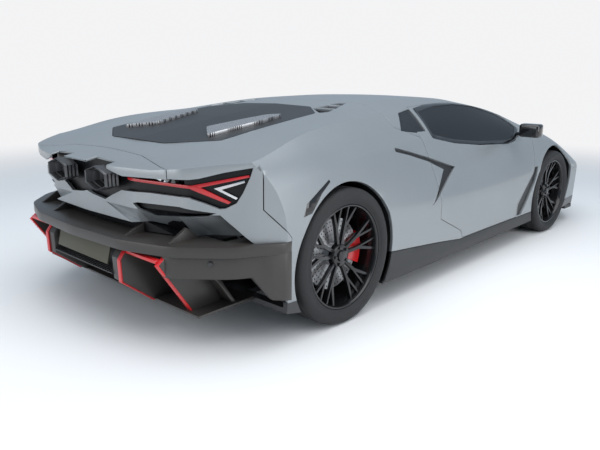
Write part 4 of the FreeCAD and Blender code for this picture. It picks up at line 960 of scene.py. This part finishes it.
for side in (1, -1):
    add_plate(ramps, "side", RAMP, 0.39, 0.735, side)
    add_plate(edging, "side", RED_BAR, 0.393, 0.64, side)
    for long_fin, guide_fin, red_corners, inner, outer in FIN_PLACES:
        add_plate(fins, "side", long_fin, inner, outer, side)
        add_plate(fins, "side", guide_fin, outer - 0.026, outer - 0.006, side)
        edge_line = list(long_fin[:red_corners])
        back_line = [(x - 0.0075, z - 0.004) for x, z in edge_line]
        add_plate(edging, "side", back_line + edge_line[::-1], outer - 0.026, outer + 0.001, side)
add_plate(ramps, "side", FLOOR_PLATE, -0.75, 0.75)
placed("diffuser_ramps", ramps, "chassis", bumper_brown, ("rear_diffuser",), 0.002)
placed("diffuser_fins", fins, "chassis", bumper_brown, (), 0.0025)
red_edging = grained("red_edging", (0.55, 0.015, 0.018), 0.35, 300.0, 0.00004, 0.15, coat_weight=0.3)
placed("red_edging", edging, "chassis", red_edging, (), 0.001)

# Side marker lamps: thin gloss black plastic strips, bent to the body and clipped in
# at the rear edge of each rear arch.
MARKER = ((-1.818, 0.644), (-1.788, 0.704), (-1.69, 0.756), (-1.608, 0.796), (-1.601, 0.784),
          (-1.678, 0.736), (-1.758, 0.654))
marker_skin = body_form("marker_skin", -0.001)
for side, name in SIDES:
    pressed_panel("marker_lamp_" + name,
                  carved(marker_skin, [block("side", MARKER, 0.7, WIDE, side=side)], arches),
                  gloss_black, thickness=0.006, edge=0.001)

# Wheels: black forged rims with five pairs of forked spokes between hub and barrel,
# held by five bolts round a plain cap, in wide tyres with grooved treads.
WHEELS = (
    # name, axle, height, distance to the tyre's centre, tyre radius, tyre width, rim radius
    ("front", FRONT_AXLE, 0.346, 0.85, 0.346, 0.265, 0.276),
    ("rear", REAR_AXLE, 0.368, 0.836, 0.368, 0.34, 0.289),
)
# one forked spoke of a pair, its hub end first; 0.95 stands for the inside of the rim
FORK = ((0.003, 0.05), (0.021, 0.05), (0.043, 0.15), (0.098, 0.95), (0.086, 0.95), (0.036, 0.176),
        (0.036, 0.95), (0.024, 0.95), (0.024, 0.15))
SPOKE_PAIRS = 5
SPOKE_SET = 0.084
SPOKE_DEPTH = 0.022
SPOKE_DISH = 0.03
HUB_RADIUS = 0.07
BOLTS = 5
BOLT_CIRCLE = 0.048
GROOVES = (0.31, 0.1, -0.1, -0.31)
TREAD_CUTS = 72.0
TREAD_SLANT = 55.0
TREAD_DEPTH = 0.005
DISC_HOLES = 48.0
DISC_ROWS = 42.0
DISC_DEPTH = 0.002


def turned(shape, profile, steps):
    """Adds a closed ring turned about the Y axis from (y, radius) corners."""
    corners = [shape.verts.new((0, y, radius)) for y, radius in profile]
    edges = [shape.edges.new((corners[n], corners[(n + 1) % len(corners)])) for n in range(len(corners))]
    bmesh.ops.spin(shape, geom=corners + edges, cent=(0, 0, 0), axis=(0, 1, 0),
                   angle=math.radians(360), steps=steps, use_merge=True)


def polar_nodes(tree, centre):
    """Angle and distance about an axle, from Object coordinates centred by a Mapping node."""
    place = tree.nodes.new("ShaderNodeTexCoord")
    centring = tree.nodes.new("ShaderNodeMapping")
    centring.inputs["Location"].default_value = (-centre[0], 0, -centre[1])
    parts = tree.nodes.new("ShaderNodeSeparateXYZ")
    flat = tree.nodes.new("ShaderNodeCombineXYZ")
    reach = tree.nodes.new("ShaderNodeVectorMath")
    reach.operation = "LENGTH"
    tree.links.new(place.outputs["Object"], centring.inputs["Vector"])
    tree.links.new(centring.outputs["Vector"], parts.inputs["Vector"])
    tree.links.new(parts.outputs["X"], flat.inputs["X"])
    tree.links.new(parts.outputs["Z"], flat.inputs["Y"])
    tree.links.new(flat.outputs["Vector"], reach.inputs[0])
    angle = math_node(tree, "ARCTAN2", parts.outputs["X"], parts.outputs["Z"])
    return angle, reach.outputs["Value"], parts.outputs["Y"]


def bumped(tree, height, depth, after=None):
    """Lays a bump of this height and depth over a finish, over another bump if one is given."""
    bump = tree.nodes.new("ShaderNodeBump")
    bump.inputs["Distance"].default_value = depth
    tree.links.new(height, bump.inputs["Height"])
    if after:
        tree.links.new(after.outputs["Normal"], bump.inputs["Normal"])
    tree.links.new(bump.outputs["Normal"], tree.nodes["Principled BSDF"].inputs["Normal"])


def tyre_finish(name, centre, radius):
    """Rubber with slanted tread cuts round the running face and fine rings on the walls."""
    finish = grained(name, (0.011, 0.011, 0.012), 0.66, 260.0, 0.0002, 0.2)
    tree = finish.node_tree
    step = partial(math_node, tree)
    angle, reach, across = polar_nodes(tree, centre)
    wave = step("MULTIPLY_ADD", angle, TREAD_CUTS, step("MULTIPLY", step("ABSOLUTE", across), TREAD_SLANT))
    running = step("GREATER_THAN", reach, radius - 0.01)
    deep = step("MULTIPLY", step("GREATER_THAN", step("SINE", wave), 0.8), running)
    ring = step("GREATER_THAN", step("SINE", step("MULTIPLY", reach, 900.0)), 0.92)
    height = step("SUBTRACT", 1.0, step("MAXIMUM", deep, step("MULTIPLY", ring, 0.12)))
    bumped(tree, height, TREAD_DEPTH, tree.nodes["Bump"])
    return finish


def disc_finish(name, centre):
    """Brake disc face with turning marks and rows of small holes through it, sunk by a bump, with painted
    shade in them.
    """
    finish = grained(name, (0.46, 0.46, 0.47), 0.3, 400.0, 0.00003, 0.15, metallic=1.0)
    tree = finish.node_tree
    step = partial(math_node, tree)
    angle, reach, across = polar_nodes(tree, centre)
    rings = step("SINE", step("MULTIPLY", reach, 2600.0))
    row = step("FRACT", step("MULTIPLY", reach, DISC_ROWS))
    lane = step("FRACT", step("MULTIPLY_ADD", angle, DISC_HOLES / (2 * math.pi),
                              step("MULTIPLY", reach, 9.0)))
    away = step("ADD", step("POWER", step("SUBTRACT", row, 0.5), 2.0),
                step("POWER", step("SUBTRACT", lane, 0.5), 2.0))
    drilled_hole_shade = step("MULTIPLY", step("LESS_THAN", away, 0.035), step("GREATER_THAN", reach, 0.105))
    bumped(tree, step("MULTIPLY_ADD", rings, 0.05, step("MULTIPLY", drilled_hole_shade, -1.0)), DISC_DEPTH)
    # The holes are coloured near black: painted shade inside them.
    second_colour(finish, drilled_hole_shade, (0.01, 0.01, 0.01))
    return finish


rim_black = grained("satin_black_rim", (0.012, 0.012, 0.013), 0.24, 900.0, 0.00002, 0.2, metallic=0.4,
                    coat_weight=0.35)
for name, axle, height, centre_y, radius, width, rim in WHEELS:
    rubber = tyre_finish("tyre_rubber_" + name, (axle, height), radius)
    disc_face = disc_finish("brake_disc_" + name, (axle, height))
    half = width / 2
    wall = ((half - 0.014, rim - 0.0055), (half - 0.012, rim + 0.004), (half - 0.006, rim + 0.01),
            (half - 0.001, rim + 0.024), (half, rim + 0.038), (half - 0.004, radius - 0.022),
            (half - 0.012, radius - 0.008), (half - 0.026, radius - 0.002))
    grooves = [(middle * width + shift, radius - depth) for middle in GROOVES
               for shift, depth in ((0.006, 0), (0.004, 0.006), (-0.004, 0.006), (-0.006, 0))]
    tyre_profile = list(wall) + grooves + [(-y, r) for y, r in reversed(wall)]
    edge_y = half - 0.014
    rim_profile = ((-edge_y, rim - 0.0065), (edge_y - 0.004, rim - 0.0065), (edge_y - 0.0005, rim - 0.01),
                   (edge_y - 0.001, rim - 0.018), (edge_y - 0.01, rim - 0.022), (edge_y - 0.04, rim - 0.028),
                   (-edge_y, rim - 0.028))
    hub_face = half - SPOKE_SET
    reach = rim - 0.016
    for side, side_name in SIDES:
        wheel = "%s_%s" % (name, side_name)
        shape = bmesh.new()
        turned(shape, tyre_profile, 120)
        bmesh.ops.remove_doubles(shape, verts=shape.verts, dist=0.0001)
        bmesh.ops.translate(shape, vec=(axle, side * centre_y, height), verts=shape.verts)
        placed("tyre_rubber_" + wheel, shape, "wheel_" + wheel, rubber, ("tyre_" + wheel,), 0, 40)
        shape = bmesh.new()
        turned(shape, rim_profile, 96)
        for group in range(SPOKE_PAIRS):
            for hand in (1, -1):
                outline = [(hand * x, z if z < 0.5 else math.sqrt(reach * reach - x * x)) for x, z in FORK]
                made = add_plate(shape, "side", outline, hub_face + 0.002, hub_face + 0.002 + SPOKE_DEPTH)
                spoke = set(made) | {edge.other_vert(vert) for vert in made for edge in vert.link_edges}
                for vert in spoke:
                    vert.co.y += SPOKE_DISH * (math.hypot(vert.co.x, vert.co.z) / reach) ** 3
                turn(shape, list(spoke), 360 / SPOKE_PAIRS * group, "Y")
        hub = upright_cone(shape, 40, HUB_RADIUS, HUB_RADIUS - 0.012, 0.03)
        hub += upright_cone(shape, 32, 0.032, 0.028, 0.014, (0, 0, 0.02))
        for number in range(BOLTS):
            angle = math.radians(360 / BOLTS * number + 36)
            hub += upright_cone(shape, 6, 0.0105, 0.009, 0.016,
                                (BOLT_CIRCLE * math.cos(angle), BOLT_CIRCLE * math.sin(angle), 0.018))
        turn(shape, hub, -90, "X")
        bmesh.ops.translate(shape, vec=(0, hub_face + 0.016, 0), verts=hub)
        if side < 0:
            bmesh.ops.scale(shape, vec=(1, -1, 1), verts=shape.verts)
        bmesh.ops.translate(shape, vec=(axle, side * centre_y, height), verts=shape.verts)
        placed("forged_rim_" + wheel, shape, "wheel_" + wheel, rim_black, ("rim_" + wheel,), 0.0018, 38)
        recolour(disc_face, "disc_" + wheel)

# Door mirrors: gloss black moulded heads, each on a slim tapered stalk that is bolted
# to the front corner of its door.
MIRROR_HEAD = ((0.56, 0.975), (0.64, 0.96), (0.64, 1.12), (0.59, 1.133), (0.53, 1.128), (0.525, 0.985))
STALK_START = (0.846, 0.826, 0.852)
STALK_END = (0.614, 1.0, 0.886)
for side, name in SIDES:
    shape = bmesh.new()
    add_plate(shape, "top", MIRROR_HEAD, 0.862, 0.958, side)
    bmesh.ops.bevel(shape, geom=list(shape.edges), offset=0.024, offset_type="OFFSET", segments=4,
                    profile=0.5, affect="EDGES", material=-1, clamp_overlap=True)
    stalk = upright_cone(shape, 16, 0.017, 0.011, 0.3)
    start, end = (Vector((x, side * y, z)) for x, y, z in (STALK_START, STALK_END))
    leaning = (end - start).to_track_quat("Z", "Y").to_matrix().to_4x4()
    bmesh.ops.transform(shape, matrix=Matrix.Translation((start + end) / 2) @ leaning, verts=stalk)
    placed("mirror_head_" + name, shape, "door_" + name, gloss_black, ("mirror_" + name,), 0)

# Seats: foam cushions, side bolsters and headrests under black leather, each pad a
# rounded block with a raised crown and stitched seams.
seat_leather = grained("seat_leather", (0.022, 0.021, 0.022), 0.48, 420.0, 0.0006, 0.25)
SEAT_PADS = (
    # centre (x, from the seat's middle, z), half size, lean about Y in degrees, crown
    ((0.085, 0.0, 0.262), (0.225, 0.15, 0.062), 8.0, 0.016),
    ((0.085, 0.195, 0.275), (0.22, 0.048, 0.085), 8.0, 0.01),
    ((0.085, -0.195, 0.275), (0.22, 0.048, 0.085), 8.0, 0.01),
    ((-0.235, 0.0, 0.47), (0.225, 0.15, 0.048), 68.0, 0.014),
    ((-0.215, 0.19, 0.475), (0.215, 0.05, 0.075), 68.0, 0.01),
    ((-0.215, -0.19, 0.475), (0.215, 0.05, 0.075), 68.0, 0.01),
    ((-0.338, 0.0, 0.742), (0.06, 0.11, 0.038), 68.0, 0.012),
)
SEAT_MIDDLE = 0.37
PAD_CUTS = 7
PAD_ROUND = 0.55
STITCH_DEPTH = 0.1


def rounded(u, v, w):
    """First coordinate of a cube's point moved towards the ball through its corners."""
    return u * math.sqrt(1 - PAD_ROUND * (v * v + w * w) / 2 + PAD_ROUND * v * v * w * w / 3)


for side, name in SIDES:
    shape = bmesh.new()
    for (pad_x, pad_y, pad_z), half_size, lean, crown in SEAT_PADS:
        before = len(shape.verts)
        corners = bmesh.ops.create_cube(shape, size=2.0)["verts"]
        edges = list({edge for vert in corners for edge in vert.link_edges})
        bmesh.ops.subdivide_edges(shape, edges=edges, cuts=PAD_CUTS, use_grid_fill=True)
        verts = list(shape.verts)[before:]
        for vert in verts:
            u, v, w = vert.co
            raised = crown / half_size[2] * (1 - u * u) * (1 - v * v) if w > 0 else 0
            stitched = STITCH_DEPTH * max(0.0, 1 - abs(math.sin(4.2 * u)) * 9) if w > 0.5 else 0
            vert.co = Vector((rounded(u, v, w), rounded(v, u, w), rounded(w, u, v) + raised - stitched))
        bmesh.ops.scale(shape, vec=half_size, verts=verts)
        turn(shape, verts, lean, "Y")
        bmesh.ops.translate(shape, vec=(pad_x, side * SEAT_MIDDLE + pad_y, pad_z), verts=verts)
    replaced = ("seats",) if side > 0 else ()
    placed("seat_pads_" + name, shape, "chassis", seat_leather, replaced, 0, 50)

# What shows through the glass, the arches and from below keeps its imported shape:
# cabin trim, tub and floor, suspension, calipers, lamps and splitter.
red_paint = grained("gloss_red_caliper", (0.5, 0.012, 0.014), 0.22, 200.0, 0.00003, 0.15, coat_weight=0.6)
cast_metal = grained("cast_aluminium", (0.3, 0.3, 0.31), 0.45, 500.0, 0.0003, 0.2, metallic=0.9)
carbon = grained("carbon_tub", (0.022, 0.022, 0.024), 0.4, 380.0, 0.0001, 0.3, coat_weight=0.3)
soft_trim = grained("soft_cabin_trim", (0.018, 0.018, 0.02), 0.62, 700.0, 0.0002, 0.2)
lamp_lens = grained("dark_lamp_lens", (0.03, 0.03, 0.033), 0.07, 8.0, 0.00001, 0.2, coat_weight=0.6)
recolour(dark_plastic, "front_splitter", "arch_liners", "luggage_box")
recolour(red_paint, "rear_calipers", "caliper_front_left", "caliper_front_right")
recolour(cast_metal, "rear_suspension", "front_suspension", "knuckle_left", "knuckle_right", "engine_block")
recolour(carbon, "tub")
recolour(soft_trim, "dashboard", "steering_wheel")
recolour(lamp_lens, "headlamps")

# The forms and blocks that only served for cutting are taken away again.
for thing in scratch:
    bpy.data.objects.remove(thing)
